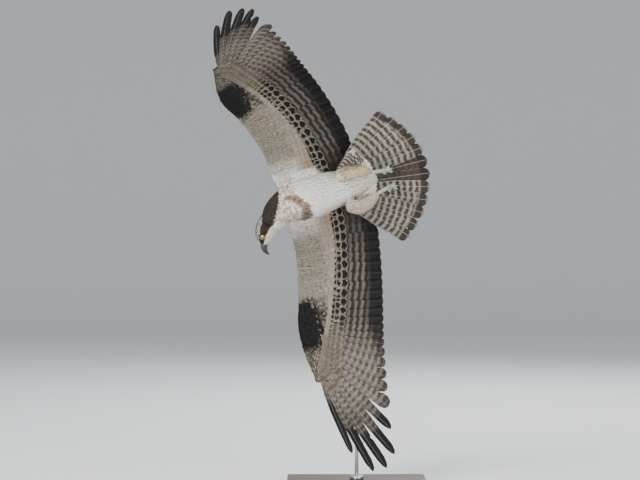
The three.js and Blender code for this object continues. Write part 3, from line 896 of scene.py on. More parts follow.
        # painted shade: the lower side starts from the grey-beige lining colour, shade over white coverts
        under = blend_colours(0.7 * white, np.tile(PALETTE.lining, (len(out), 1)), PALETTE.white)
        under = under * (0.8 + 0.4 * streaks)[:, None]
        armpit = ease(out, 190, 70) * ease(forward, 96, 30)
        under = blend_colours(armpit * (0.3 + 0.5 * spot), under, PALETTE.tan)
        flecks = ease(fine, 0.72, 0.8) * ease(forward, 120, 70)
        under = blend_colours(0.7 * flecks, under, PALETTE.umber)
        edge = forward - np.interp(out, *self.patch_edge)
        patch = ease(out + 26 * (spot - 0.5), 292, 318) * ease(out, 474, 440)
        patch = patch * ease(edge + 34 * (spot - 0.5), -10, 8)
        mottle = ease(out, 304, 330) * ease(fine, 0.34, 0.5) * ease(edge, -60, -25)
        under = blend_colours(mottle * 0.8, under, PALETTE.brown)
        under = blend_colours(np.clip(patch, 0, 1), under, PALETTE.black)
        over = blend_colours(spot * 0.7, PALETTE.brown, PALETTE.umber)
        return blend_colours(above, under, over)


MARKINGS = Markings()


# Feathers as meshes


@dataclass
class FeatherMesh:
    """Gathers vanes as arrays and turns them into one mesh."""

    points: list = field(default_factory=list)
    triangles: list = field(default_factory=list)
    smooth: list = field(default_factory=list)
    maps: list = field(default_factory=list)
    colours: dict = field(default_factory=dict)
    numbers: dict = field(default_factory=dict)
    count: int = 0

    def add(
        self, points: Array, triangles: Array, smooth: Array, uv: Array, colours: dict, numbers: dict,
    ) -> None:
        """Adds one block of vanes.

        Args:
            points: the vanes' points in the bird's frame.
            triangles: their corners, numbered from 0.
            smooth: whether each triangle is smooth.
            uv: a place in the bake map for each point.
            colours: named colours for each point.
            numbers: named numbers for each point.
        """
        self.points.append(points)
        self.triangles.append(triangles + self.count)
        self.smooth.append(smooth)
        self.maps.append(uv)
        for store, given in ((self.colours, colours), (self.numbers, numbers)):
            for key, value in given.items():
                store.setdefault(key, []).append(value)
        self.count += len(points)

    def mesh(self, name: str) -> bpy.types.Mesh:
        """The mesh of all that was added, placed in the part's frame.

        Args:
            name: the mesh's name.
        Returns:
            The mesh.
        """
        points = FLIGHT.world(np.concatenate(self.points))
        corners = np.concatenate(self.triangles).astype(np.int32)
        mesh = bpy.data.meshes.new(name)
        mesh.vertices.add(len(points))
        mesh.vertices.foreach_set("co", points.astype(np.float32).ravel())
        mesh.loops.add(corners.size)
        mesh.loops.foreach_set("vertex_index", corners.ravel())
        mesh.polygons.add(len(corners))
        mesh.polygons.foreach_set("loop_start", np.arange(0, corners.size, 3, dtype=np.int32))
        mesh.update(calc_edges=True)
        mesh.polygons.foreach_set("use_smooth", np.concatenate(self.smooth))
        uv = np.concatenate(self.maps)[corners.ravel()].astype(np.float32)
        mesh.uv_layers.new(name=BAKE_MAP).data.foreach_set("uv", uv.ravel())
        for key, blocks in self.colours.items():
            write_colours(mesh, key, np.concatenate(blocks))
        for key, blocks in self.numbers.items():
            write_numbers(mesh, key, np.concatenate(blocks).astype(np.float32))
        mesh.validate()
        return mesh


TUFT_U = np.array([0.0, 0.35, 0.7, 0.92, 1.0])
TUFT_SHARE = np.array([0.5, 0.95, 1.0, 0.7, 0.0])
TUFT_RISE = np.array([-0.9, 0.35, 0.8, 1.0, 0.95])
TUFT_POINTS = 13
PATCH = 0.003


def tuft_triangles() -> tuple[Array, Array]:
    """Lists the triangles of one small vane.

    Returns:
        Their corners, and whether each is on its smooth outer side.
    """
    top, under = [], []
    for i in range(3):
        a, b = 3 * i, 3 * i + 3
        for left, right in ((0, 1), (1, 2)):
            top += [(a + left, b + left, b + right), (a + left, b + right, a + right)]
        under += [(a, b + 2, b), (a, a + 2, b + 2)]
    top += [(9, 12, 10), (10, 12, 11)]
    under += [(9, 11, 12), (0, 1, 2)]
    return np.array(top + under), np.array([True] * len(top) + [False] * len(under))


@dataclass(frozen=True)
class Tufts:
    """A field of small vanes, each given by the middle of its stations from root to tip."""

    centres: Array
    normals: Array
    half: Array
    lift: Array
    tint: Array
    fringe: Array
    streak: Array
    patch: Array

    def add_to(self, store: FeatherMesh, rng: np.random.Generator) -> None:
        """Adds the vanes to a mesh store.

        Args:
            store: the mesh store.
            rng: the source of chance.
        """
        n = len(self.centres)
        tangents = np.gradient(self.centres, axis=1)
        sides = unit(np.cross(self.normals, tangents))
        rise = TUFT_RISE[None, :] * self.lift[:, None]
        middle = self.centres + self.normals * rise[..., None]
        half = self.half[:, None] * TUFT_SHARE[None, :]
        skew = (rng.random((n, 1)) - 0.5) * 0.25 * self.half[:, None] * TUFT_U[None, :]
        middle = middle + sides * skew[..., None]
        drop = self.normals * (0.08 * half)[..., None]
        left = middle - sides * half[..., None] - drop
        right = middle + sides * half[..., None] - drop
        grid = np.stack([left, middle, right], axis=2)[:, :4].reshape(n, 12, 3)
        points = np.concatenate([grid, middle[:, 4:5]], axis=1)
        triangles, smooth = tuft_triangles()
        corners = triangles[None] + TUFT_POINTS * np.arange(n)[:, None, None]
        u = np.append(np.repeat(TUFT_U[:4], 3), 1.0)
        v = np.append(np.tile((-1.0, 0.0, 1.0), 4), 0.0)
        tip = ease(u, 0.6, 1.0)[None, :, None]
        tint = self.tint[:, None, :] * (1 - tip) + self.fringe[:, None, :] * tip
        dark = (1 - np.abs(v))[None, :, None] * self.streak[:, None, None]
        tint = tint * (1 - dark)
        uv = self.patch[:, None, :] + np.stack([v * 0.4, u - 0.5], axis=1)[None] * PATCH
        barb = np.tile(u * 14.0 + np.abs(v) * 9.0, n)
        none = np.zeros(TUFT_POINTS * n)
        store.add(
            points.reshape(-1, 3), corners.reshape(-1, 3), np.tile(smooth, n), uv.reshape(-1, 2),
            {"tint": tint.reshape(-1, 3), "shade": tint.reshape(-1, 3)},
            {"bars": none, "beat": none, "barb": barb, "rachis": none},
        )


class Row(Enum):
    """The kinds of long feather."""

    FLIGHT = "flight"
    GREATER = "greater"
    MEDIAN = "median"


def vane_half(u: Array, kind: Row, finger: bool) -> Array:
    """The outline of a long vane.

    Args:
        u: places from its root, 0, to its tip, 1.
        kind: the kind of feather.
        finger: whether it is one of the long narrow ones at the wing's end.
    Returns:
        Half its width at each place, as a share of its greatest.
    """
    tip = {Row.FLIGHT: 0.90, Row.GREATER: 0.78, Row.MEDIAN: 0.7}[kind]
    if finger:
        shape = np.interp(u, (0, 0.3, 0.5, 0.66, 0.9, 1), (0.45, 1.0, 1.1, 0.98, 0.82, 0.7))
    else:
        shape = np.interp(u, (0, 0.12, 0.45, 1), (0.35, 0.75, 1.0, 0.98))
    rounded = np.sqrt(np.clip(1 - ((u - tip) / (1 - tip)).clip(0, 1) ** 2, 0.0, 1.0))
    return np.maximum(shape * rounded, 0.04)


@dataclass(frozen=True)
class Vane:
    """One long feather laid flat: its ends, width, height and the slot that it fills in its row."""

    root: Array
    tip: Array
    half: float
    lean: Callable[[Array], Array]
    height: Callable[[Array, Array], Array]
    share: float
    kind: Row
    finger: bool
    above: int
    island: tuple[float, float, float, float]
    shaft: float
    thick: float = 0.22
    ridge: float = 0.55
    sag: float = 0.9
    bow: float = 0.018
    outer: float = 0.6
    beside_shaft: float = 0.045

    def add_to(self, store: FeatherMesh, place: Callable, paint: Callable, rng: np.random.Generator) -> None:
        """Adds the vane as a fine closed mesh with a raised shaft and a few parted barbs.

        Args:
            store: the mesh store.
            place: puts flat points in the bird's frame.
            paint: gives the colours and bars of points of the vane.
            rng: the source of chance.
        """
        steps, half_columns = (44, 4) if self.kind is Row.FLIGHT else (13, 3)
        ends = np.linspace(0, 1, steps)
        u = ends + 0.04 * np.sin(np.pi * ends) * (ends - 0.3)
        side = np.linspace(0, 1, half_columns + 1)[1:]
        v = np.concatenate([-side[::-1], [-self.beside_shaft, 0.0, self.beside_shaft], side])
        columns = len(v)
        shaft = self.tip - self.root
        length = float(np.hypot(*shaft))
        across = np.array([-shaft[1], shaft[0]]) / length
        shape = vane_half(u, self.kind, self.finger) * self.half
        leading, trailing = (0.74, 1.16) if self.share > self.outer else (0.94, 1.04)
        wide = np.where(v[None, :] < 0, leading, trailing)
        ragged = 1 - 0.05 * rng.random((steps, 1)) * (np.abs(v)[None, :] > 0.9)
        for _ in range(2 if self.kind is Row.FLIGHT else 1):
            at = rng.integers(steps // 4, steps - 2)
            ragged[at, (-1 if rng.random() < 0.7 else 0)] *= 0.72
        c = shape[:, None] * v[None, :] * wide * ragged
        bow = self.bow * length * np.sin(np.pi * u) * (1 if self.share > 0.35 else 0.4)
        x = self.root[0] + shaft[0] * u[:, None] + across[0] * (c - bow[:, None])
        y = self.root[1] + shaft[1] * u[:, None] + across[1] * (c - bow[:, None])
        lean = self.lean(u)[:, None] * c
        arch = -self.sag * (np.abs(c) / max(self.half, 1)) ** 2
        ridge = self.ridge * (v[None, :] == 0) * (1 - 0.75 * u[:, None])
        base = self.height(x, y) + lean + arch
        skins = []
        for skin in (1, -1):
            h = base + skin * (self.thick + ridge)
            skins.append(place(x.ravel(), y.ravel(), h.ravel()))
        points = np.concatenate(skins)
        size = steps * columns
        index = np.arange(size).reshape(steps, columns)
        a, b, d, e = index[:-1, :-1], index[1:, :-1], index[1:, 1:], index[:-1, 1:]
        halves = np.stack([a, b, d], -1), np.stack([a, d, e], -1)
        upper = np.concatenate([half.reshape(-1, 3) for half in halves])
        rim = np.concatenate([index[0, :-1], index[:-1, -1], index[-1, :0:-1], index[:0:-1, 0]])
        following = np.roll(rim, -1)
        walls = np.concatenate([
            np.stack([rim, following, following + size], -1),
            np.stack([rim, following + size, rim + size], -1),
        ])
        triangles = np.concatenate([upper, upper[:, ::-1] + size, walls])
        smooth = np.concatenate([np.ones(2 * len(upper), bool), np.zeros(len(walls), bool)])
        flat_u = np.repeat(u, columns)
        flat_v = np.tile(v, steps)
        faces_up = np.repeat((1.0, 0.0), size)
        tint, shade, bars = paint(self, np.tile(flat_u, 2), np.tile(flat_v, 2), faces_up, rng)
        x0, y0, width, height = self.island
        spread = np.stack([x0 + width * (0.5 + 0.45 * flat_v), y0 + height * (0.03 + 0.94 * flat_u)], axis=1)
        uv = np.concatenate([spread * (1, 0.5), spread * (1, 0.5) + (0, 0.5)])
        period = 19.0 if self.kind is Row.FLIGHT else 12.0
        beat = flat_u * length * 2 * math.pi / period + np.abs(flat_v) * 1.5 + rng.random() * 2.4
        barb = flat_u * length * 1.9 + np.abs(flat_v) * self.half * 2.4
        rachis = (flat_v == 0) * self.shaft
        store.add(
            points, triangles, smooth, uv, {"tint": tint, "shade": shade},
            {"bars": bars, "beat": np.tile(beat, 2), "barb": np.tile(barb, 2), "rachis": np.tile(rachis, 2)},
        )


@dataclass(frozen=True)
class Plumage:
    """The finish of skin and feathers: its colours come with the mesh, its bars and barbs from here."""

    name: str
    roughness: float
    wobble_scale: float = 70.0
    wobble: float = 2.2
    grain_scale: float = 900.0
    grain: float = 0.22
    deep: float = 0.00022
    gloss: float = 0.12

    def make(self) -> bpy.types.Material:
        """Builds the material.

        Returns:
            The material.
        """
        s = Shader(self.name)
        tint, shade = s.attribute("tint", "Color"), s.attribute("shade", "Color")
        wave = (s.attribute("beat") + s.noise(self.wobble_scale) * self.wobble).sine()
        barred = s.mix(wave.step(-0.45, 0.3) * s.attribute("bars"), tint, shade)
        colour = s.mix(s.attribute("rachis"), barred, PALETTE.shaft)
        grain = s.noise(self.grain_scale, 3.0)
        colour = s.mix(grain.step(0.35, 0.75) * self.grain, colour, s.mix(0.5, colour, (0.0, 0.0, 0.0)))
        fine = s.attribute("barb").sine() * 0.5 + grain * 0.5
        s.finish(colour, grain * 0.12 + self.roughness, fine, self.deep, Specular_IOR_Level=self.gloss)
        return s.material


@dataclass(frozen=True)
class Plain:
    """A finish of one colour whose roughness varies a little."""

    name: str
    colour: Colour
    roughness: float
    rough_by: float = 0.0
    metallic: float = 0.0
    cloud_scale: float = 60.0

    def make(self) -> bpy.types.Material:
        """Builds the material.

        Returns:
            The material.
        """
        s = Shader(self.name)
        cloud = s.noise(self.cloud_scale, 4.0)
        s.finish(self.colour, cloud * self.rough_by + self.roughness, Metallic=self.metallic)
        return s.material


# The skin


class Skin:
    """One skin over head, neck, body, thighs, wing cores and rump, and the ways to stand things on it."""

    REPLACES = ("torso", "neck", "head", "thigh_left", "thigh_right")
    UNDER_WING = 1.4
    UNDER_TAIL = 2.0
    SOFTENING = 5
    FACE = (-36, -20)
    SHOULDER = (62, 84)

    def __init__(self) -> None:
        """Joins the fleshy forms and remeshes them into one surface, in millimetres."""
        shape = bmesh.new()
        BODY.flesh(shape)
        for wing in (LEFT_WING, RIGHT_WING):
            wing.core_tube(shape, self.UNDER_WING)
        TAIL.core_tube(shape, self.UNDER_TAIL)
        rough = add_object("rough_skin", mesh_of(shape, "rough_skin"))
        remesh = rough.modifiers.new("Remesh", "REMESH")
        remesh.mode = "VOXEL"
        remesh.voxel_size = BODY.voxel
        softened = rough.modifiers.new("Smooth", "SMOOTH")
        softened.factor = 0.5
        softened.iterations = self.SOFTENING
        made = rough.evaluated_get(bpy.context.evaluated_depsgraph_get())
        self.mesh = bpy.data.meshes.new_from_object(made)
        bpy.data.objects.remove(rough)
        self.mesh.name = "skin"
        shape = bmesh.new()
        shape.from_mesh(self.mesh)
        self.tree = BVHTree.FromBMesh(shape)
        bmesh.ops.triangulate(shape, faces=shape.faces)
        self.corners = np.array([[v.index for v in f.verts] for f in shape.faces])
        self.points = np.array([v.co for v in shape.verts])
        shape.free()

    def colours(self, points: Array) -> Array:
        """The markings on or near the skin.

        Args:
            points: points of the bird's frame.
        Returns:
            A colour for each.
        """
        colour = MARKINGS.body(points)
        along = BODY.head.local(points)[:, 0]
        away = np.linalg.norm(points - BODY.head.point(0, 0), axis=1)
        head = ease(along, *self.FACE) * ease(away, 78, 66)
        colour = blend_colours(head, colour, MARKINGS.head(points))
        for wing in (LEFT_WING, RIGHT_WING):
            forward, out, above = flat_place(wing, points)
            share = ease(out, *self.SHOULDER) * (points[:, 1] * wing.side > 0) * (1 - off_wing(points, out))
            colour = blend_colours(share, colour, MARKINGS.wing(forward, out, (above > 0).astype(float)))
        return colour

    def build(self) -> bpy.types.Object:
        """Colours the skin, places it and makes it the piece that stands for the flesh nodes.

        Returns:
            The piece.
        """
        colour = self.colours(self.points)
        for key in ("tint", "shade"):
            write_colours(self.mesh, key, colour)
        self.mesh.transform(FLIGHT.matrix())
        piece = new_piece("skin", self.mesh, FINISHES["plumage_white"], "plumage_white")
        piece.data.polygons.foreach_set("use_smooth", [True] * len(piece.data.polygons))
        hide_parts(*self.REPLACES)
        return piece

    def scatter(
        self, rng: np.random.Generator, tries: int, keep: Callable, gap: Callable,
    ) -> tuple[Array, Array]:
        """Roots spread over part of the skin, none nearer to another than the gap there.

        Args:
            rng: the source of chance.
            tries: how many points are tried.
            keep: which of some points belong to the field.
            gap: the gap wanted at points.
        Returns:
            The roots and the skin's normals there.
        """
        a, b, c = (self.points[self.corners[:, i]] for i in range(3))
        cross = np.cross(b - a, c - a)
        wanted = keep((a + b + c) / 3)
        area = np.linalg.norm(cross, axis=1) * wanted
        pick = rng.choice(len(area), tries, p=area / area.sum())
        r, q = np.sqrt(rng.random((tries, 1))), rng.random((tries, 1))
        points = a[pick] * (1 - r) + b[pick] * r * (1 - q) + c[pick] * r * q
        normals = unit(cross[pick])
        gaps = gap(points)
        cell = float(gaps.max())
        taken: dict = {}
        kept = []
        for i, (point, space) in enumerate(zip(points.tolist(), gaps.tolist())):
            home = tuple(int(math.floor(k / cell)) for k in point)
            near = (
                other
                for dx in (-1, 0, 1) for dy in (-1, 0, 1) for dz in (-1, 0, 1)
                for other in taken.get((home[0] + dx, home[1] + dy, home[2] + dz), ())
            )
            if all(math.dist(point, other) > space for other in near):
                taken.setdefault(home, []).append(point)
                kept.append(i)
        return points[kept], normals[kept]

    def lay(self, roots: Array, ways: Array, lengths: Array) -> tuple[Array, Array]:
        """Lays vanes along the skin.

        Args:
            roots: where they start.
            ways: the directions that they take.
            lengths: how long they are.
        Returns:
            The middles of their stations, and the skin's normals there.
        """
        centres = np.zeros((len(roots), len(TUFT_U), 3))
        normals = np.zeros_like(centres)
        for i, (root, way, length) in enumerate(zip(roots, ways, lengths)):
            for j, u in enumerate(TUFT_U):
                point, normal, _, _ = self.tree.find_nearest(Vector(root + way * (length * u)))
                centres[i, j] = point
                normals[i, j] = normal
        return centres, normals


def flat_place(wing: WingShape, points: Array) -> tuple[Array, Array, Array]:
    """Finds where points of the bird's frame lie on a wing laid flat.

    Args:
        wing: the wing.
        points: the points.
    Returns:
        How far forward and out they lie, and how high over the wing's middle.
    """
    reach, slopes, across, up = wing.bow()
    y, z = np.maximum(points[:, 1] * wing.side, 0), points[:, 2] - wing.root_height
    out = np.interp(y, across, reach)
    for _ in range(3):
        slope = np.interp(out, reach, slopes)
        h = (z - np.interp(out, reach, up)) / np.cos(slope)
        out = np.interp(y + h * np.sin(slope), across, reach)
    swept = points[:, 0] + wing.back
    forward = swept + wing.sweep * np.maximum(0.0, out - wing.wrist)
    return forward, out, h - wing.arch(swept, out)


def off_wing(points: Array, out: Array) -> Array:
    """1 for points ahead of the wing's root, as the turned head's are, and 0 for others."""
    return ease(points[:, 0], 124, 136) * ease(out, 200, 180)


# The coat of short feathers


@dataclass(frozen=True)
class Field:
    """One field of short feathers: where it is, and how dense, long and wide they are along it."""

    name: str
    slot: str
    tries: int
    keep: Callable[[Array], Array]
    along: Callable[[Array], Array]
    gaps: tuple
    lengths: tuple
    width: float
    lift: float

    def gap(self, points: Array) -> Array:
        """The gap wanted between feathers at points."""
        return np.interp(self.along(points), *self.gaps)

    def length(self, points: Array) -> Array:
        """The feathers' length at points."""
        return np.interp(self.along(points), *self.lengths)


HEAD_REACH = 74.0
FAR_BEHIND = -999.0
WING_FROM = 74.0
BILL_FROM = 41.5


def head_along(points: Array) -> Array:
    """How far along the head's axis points lie, far behind for points away from the head."""
    away = np.linalg.norm(points - BODY.head.point(0, 0), axis=1)
    return np.where(away < HEAD_REACH, BODY.head.local(points)[:, 0], FAR_BEHIND)


def body_along(points: Array) -> Array:
    """How far forward points lie on the body."""
    return points[:, 0]


def on_wing(points: Array) -> Array:
    """Whether points belong to a wing rather than to the body."""
    out = np.where(points[:, 1] > 0, flat_place(LEFT_WING, points)[1], flat_place(RIGHT_WING, points)[1])
    return (out > WING_FROM) & (off_wing(points, out) < 0.5)


def near_eye(points: Array) -> Array:
    """Distance of points from the nearer eye's middle."""
    return np.min([np.linalg.norm(points - EYES.centre(side), axis=1) for side in (1, -1)], axis=0)


def on_bill(points: Array) -> Array:
    """Whether points lie where the bill leaves the face."""
    return BODY.head.local(points)[:, 0] > BILL_FROM


class Coat:
    """The short feathers of head, neck, body and thighs."""

    EYELID = 9.6
    FACE_FROM = -24
    NECK_TO = -22
    BACK_FROM = 10
    THIGH_BELOW = -34
    DARK = 0.14

    def __init__(self, skin: Skin, rng: np.random.Generator) -> None:
        """Lists the fields of the coat.

        Args:
            skin: the skin that the coat grows on.
            rng: the source of chance.
        """
        self.skin = skin
        self.rng = rng
        self.fields = (
            Field(
                "coat_head", "plumage_white", 30000, self._face, head_along,
                gaps=((-24, 40), (2.7, 1.5)), lengths=((-24, 10, 42), (13.0, 8.5, 4.2)),
                width=0.155, lift=0.6,
            ),
            Field(
                "coat_breast", "plumage_white", 46000, self._breast, body_along,
                gaps=((-170, 60, 140), (3.9, 3.4, 2.6)), lengths=((-170, 60, 140), (25.0, 19.0, 13.0)),
                width=0.19, lift=0.9,
            ),
            Field(
                "coat_back", "plumage_dark", 30000, self._back, body_along,
                gaps=((-170, 60, 140), (4.8, 4.2, 2.8)), lengths=((-170, 60, 140), (25.0, 20.0, 14.0)),
                width=0.24, lift=1.1,
            ),
            Field(
                "coat_thighs", "plumage_buff", 14000, self._thigh, body_along,
                gaps=((-180, -80), (2.6, 3.8)), lengths=((-180, -80), (10.0, 19.0)), width=0.19, lift=1.0,
            ),
        )

    def _face(self, points: Array) -> Array:
        """Whether points lie on the head, off its eyes and bill."""
        return (head_along(points) > self.FACE_FROM) & (near_eye(points) > self.EYELID) & ~on_bill(points)

    def _breast(self, points: Array) -> Array:
        """Whether points lie on the lower side of the neck or torso."""
        return self._trunk(points) & (points[:, 2] < self.BACK_FROM)

    def _back(self, points: Array) -> Array:
        """Whether points lie on the upper side of the neck or torso."""
        return self._trunk(points) & (points[:, 2] >= self.BACK_FROM)

    def _trunk(self, points: Array) -> Array:
        """Whether points lie on the neck or torso."""
        return (head_along(points) <= self.NECK_TO) & ~on_wing(points) & ~self._thigh(points)

    def _thigh(self, points: Array) -> Array:
        """Finds the points that lie on a thigh.

        Args:
            points: points of the bird's frame.
        Returns:
            Whether each does.
        """
        folded = points.copy()
        folded[:, 1] = np.abs(folded[:, 1])
        near = near_line(folded, BODY.thigh, [half + 1 for half in BODY.thigh_halves])
        return (near > 0) & (points[:, 2] < self.THIGH_BELOW)

    def build(self) -> list[bpy.types.Object]:
        """Builds each field as a piece."""
        return [self._field(one) for one in self.fields]

    def _field(self, one: Field) -> bpy.types.Object:
        """Scatters one field's feathers and joins them.

        Args:
            one: the field.
        Returns:
            The piece.
        """
        roots, _ = self.skin.scatter(self.rng, one.tries, one.keep, one.gap)
        n = len(roots)
        ways = BODY.lie(roots) + 0.09 * self.rng.standard_normal((n, 3))
        lengths = one.length(roots) * (0.85 + 0.3 * self.rng.random(n))
        centres, normals = self.skin.lay(roots, unit(ways), lengths)
        shade = 0.86 + 0.22 * self.rng.random((n, 1))
        tint = self.skin.colours(roots) * shade
        dark = tint.mean(axis=1) < self.DARK
        fringe = np.where(dark[:, None], tint * 1.9 + 0.02, np.minimum(tint * 1.12, 0.82))
        streak = np.where(dark, 0.3, 0.1) * self.rng.random(n)
        along = (roots[:, 0] + 200) / 420
        angle = (np.arctan2(roots[:, 2], roots[:, 1]) + math.pi) / (2 * math.pi)
        patch = 0.02 + 0.96 * np.clip(np.stack([along, angle], axis=1), 0, 1)
        lift = one.lift * (0.7 + 0.6 * self.rng.random(n))
        store = FeatherMesh()
        half = lengths * one.width * (0.9 + 0.3 * self.rng.random(n))
        Tufts(centres, normals, half, lift, tint, fringe, streak, patch).add_to(store, self.rng)
        return new_piece(one.name, store.mesh(one.name), FINISHES[one.slot], one.slot)


# The wings' feathers


VANE_STEP = 1.3
VANE_TIER = 2.7


class Wing:
    """One wing's short coverts, long coverts and flight feathers."""

    REACH = {-1: ((0.40, 0.1), (0.28, 0.08), (0.17, 0.05)), 1: ((0.5, 0.12), (0.34, 0.1), (0.2, 0.06))}
    WIDEST = 26.0
    SHORT_FROM = 16.0
    SHORT_TO = 552
    DARK = 0.14

    def __init__(self, name: str, wing: WingShape, rng: np.random.Generator) -> None:
        """Prepares the curves along the wing.

        Args:
            name: left or right.
            wing: the wing's shape.
            rng: the source of chance.
        """
        self.name = name
        self.wing = wing
        self.rng = rng
        self.roots = Track(wing.roots, keyed=False)
        self.tips = Track(wing.tips, keyed=False)
        self.core = Track(wing.core, keyed=False)
        t = np.linspace(0, 1, 200)
        self.table_t = t
        self.table = self.core(t)

    def on_core(self, x: Array, y: Array) -> tuple[Array, Array]:
        """Where flat points lie on the core.

        Args:
            x: how far forward they lie.
            y: how far out they lie.
        Returns:
            The share of the chord from its leading edge, and the half thickness there.
        """
        table = self.table
        t = np.interp(y, table[:, 1], self.table_t)
        c = np.zeros_like(t)
        for _ in range(4):
            lx, ly, rx, ry = (np.interp(t, self.table_t, table[:, i]) for i in range(4))
            c = np.clip((x - lx) / (rx - lx), 0, 1.5)
            t = np.interp(y - (ry - ly) * np.clip(c, 0, 1), table[:, 1], self.table_t)
        half = np.interp(t, self.table_t, table[:, 4])
        return c, half * ease(y, 560, 535)

    def surface(self, x: Array, y: Array) -> Array:
        """Height of the surface under the coat over the wing's middle.

        Args:
            x: how far forward the points lie.
            y: how far out they lie.
        Returns:
            The height for each.
        """
        c, half = self.on_core(x, y)
        flesh = half * self.wing.thickness(np.clip(c, 0, 1), 0.3) * ease(c, 1.06, 0.8) * ease(c, -0.02, 0.04)
        return np.maximum(flesh, VANE_TIER * ease(c, 0.5, 1.0))

    def ends(self, s: float) -> tuple[Array, Array]:
        """Finds a flight feather.

        Args:
            s: the share of the way along the wing.
        Returns:
            Its root and its tip.
        """
        number = s * (self.wing.count - 1)
        k = round(number) - (self.wing.count - len(self.wing.fingers))
        exact = abs(number - round(number)) < 1e-6
        if k < 0 or not exact:
            root, tip = self.roots(s), self.tips(s * self.wing.crowd)
            return root, tip + (root - tip) * self.wing.shorter * float(ease(s, 0.66, 0.82))
        root, tip = self.roots(s), np.array(self.wing.fingers[k][:2], float)
        return root, tip + unit(tip - root) * self.wing.longer

    def paint_flight(self, vane: Vane, u: Array, v: Array, up: Array, rng: np.random.Generator) -> tuple:
        """Colours of a flight feather: grey and barred below, with painted shadow of the body on the inner
        ones, dark brown above, black towards finger tips.

        Args:
            vane: the feather.
            u: places along it, from 0.
            v: places across it, -1 to 1.
            up: 1 on its upper face, else 0.
            rng: the source of chance.
        Returns:
            The ground's colour, the bars' colour and the bars' strength.
        """
        primary = float(ease(vane.share, 0.5, 0.72))
        # painted shadow: the body's shadow darkens the lower side of the inner feathers, reaching further
        # along the right wing
        reach = 0.3 if self.wing.side < 0 else 0.16
        painted_body_shadow = float(ease(vane.share, reach, 0.02))
        n = len(u)
        pale = np.array(PALETTE.grey) * 0.82 * (1 - primary) + np.array(PALETTE.pale) * 0.36 * primary
        pale = pale * (1 - 0.7 * painted_body_shadow) * (0.88 + 0.24 * rng.random())
        dark = np.array(PALETTE.brown) * (1 - primary) + np.array(PALETTE.umber) * 1.15 * primary
        tint, shade = np.tile(pale, (n, 1)), np.tile(dark, (n, 1))
        if vane.finger:
            k = (vane.share - 1) * (self.wing.count - 1)
            start = float(np.interp(k, (-4, -3, -2, -1, 0), (0.72, 0.66, 0.58, 0.50, 0.32)))
            black = ease(u, start, start + 0.13)
            black = np.maximum(black, 0.45 * ease(u, start - 0.2, start))
        else:
            start = 0.62 * (1 - primary) + 0.80 * primary
            black = ease(u, start, start + 0.18) * (1 - 0.3 * primary)
        tint = blend_colours(black, tint, PALETTE.black)
        shade = blend_colours(black, shade, PALETTE.black)
        inside = ease(v, 0.55, -0.35)
        bars = np.clip(1.0 - inside * (1 - black) * (0.75 + 0.25 * primary), 0, 1)
        bars = np.clip(bars + 0.82 * (1 - black) * (1 - 0.35 * primary), 0, 1) * ease(u, 0.06, 0.2)
        edge = ease(u, 0.978, 0.995) * (0.0 if vane.finger else 0.6)
        tint, shade = blend_colours(edge, tint, PALETTE.pale), blend_colours(edge, shade, PALETTE.pale)
        top = blend_colours(black * 0.8, np.tile(PALETTE.umber, (n, 1)), PALETTE.black)
        top = blend_colours(edge, top, PALETTE.tan)
        upper = up[:, None] > 0.5
        return np.where(upper, top, tint), np.where(upper, top, shade), bars * (1 - up)

    def paint_covert(self, vane: Vane, u: Array, v: Array, up: Array, rng: np.random.Generator) -> tuple:
        """Colours of a long covert: a grey-beige ground that is painted shade over pale feathers, with a dark
        oval below, brown with a pale edge above.

        Args:
            vane: the feather.
            u: places along it, from 0.
            v: places across it, -1 to 1.
            up: not used.
            rng: the source of chance.
        Returns:
            The colour, the same again, and no bars.
        """
        n = len(u)
        hand = float(ease(vane.share, 0.5, 0.74))
        rough = rng.random()
        # painted shade: the ground is the lining's grey-beige, shade painted over pale coverts
        pale = np.array(PALETTE.lining) * (0.85 + 0.4 * rough)
        bars = 0.5 + 0.5 * np.sin(u * 26.0 + np.abs(v) * 1.4)
        tint = blend_colours(bars * (0.3 + 0.3 * hand) + 0.25 * hand, np.tile(pale, (n, 1)), PALETTE.umber)
        where = 0.78 if vane.kind is Row.GREATER else 0.72
        oval = np.hypot((u - where) / (0.19 + 0.05 * rough), (v + 0.2 * (rough - 0.5)) / 0.86)
        spot = ease(oval, 1.2 - 0.25 * rng.random(), 0.78) * (1 - 0.7 * hand)
        tint = blend_colours(spot, tint, PALETTE.black)
        brown = np.tile(PALETTE.umber, (n, 1)) * (0.8 + 0.3 * rng.random())
        edge = np.maximum(ease(np.abs(v), 0.75, 1.0), ease(u, 0.9, 1.0)) * 0.5
        brown = blend_colours(edge, brown, PALETTE.tan)
        colour = brown if vane.above > 0 else tint
        return colour, colour, np.zeros(n)

    def long_row(
        self, store: FeatherMesh, kind: Row, count: int, reach: Callable[[float], float],
        above: int, tier: float,
    ) -> None:
        """Adds a row of long feathers.

        Args:
            store: the mesh store.
            kind: which row it is.
            count: how many feathers.
            reach: how far each reaches along its flight feather, by its share of the way along the wing.
            above: 1 upper side, -1 lower, 0 flight feathers.
            tier: the row's height over the layer before.
        """
        paint = self.paint_flight if kind is Row.FLIGHT else self.paint_covert
        for i in range(count):
            vane = self._long_vane(kind, count, i, reach(i / (count - 1)), above, tier)
            vane.add_to(store, self.wing.place, paint, self.rng)

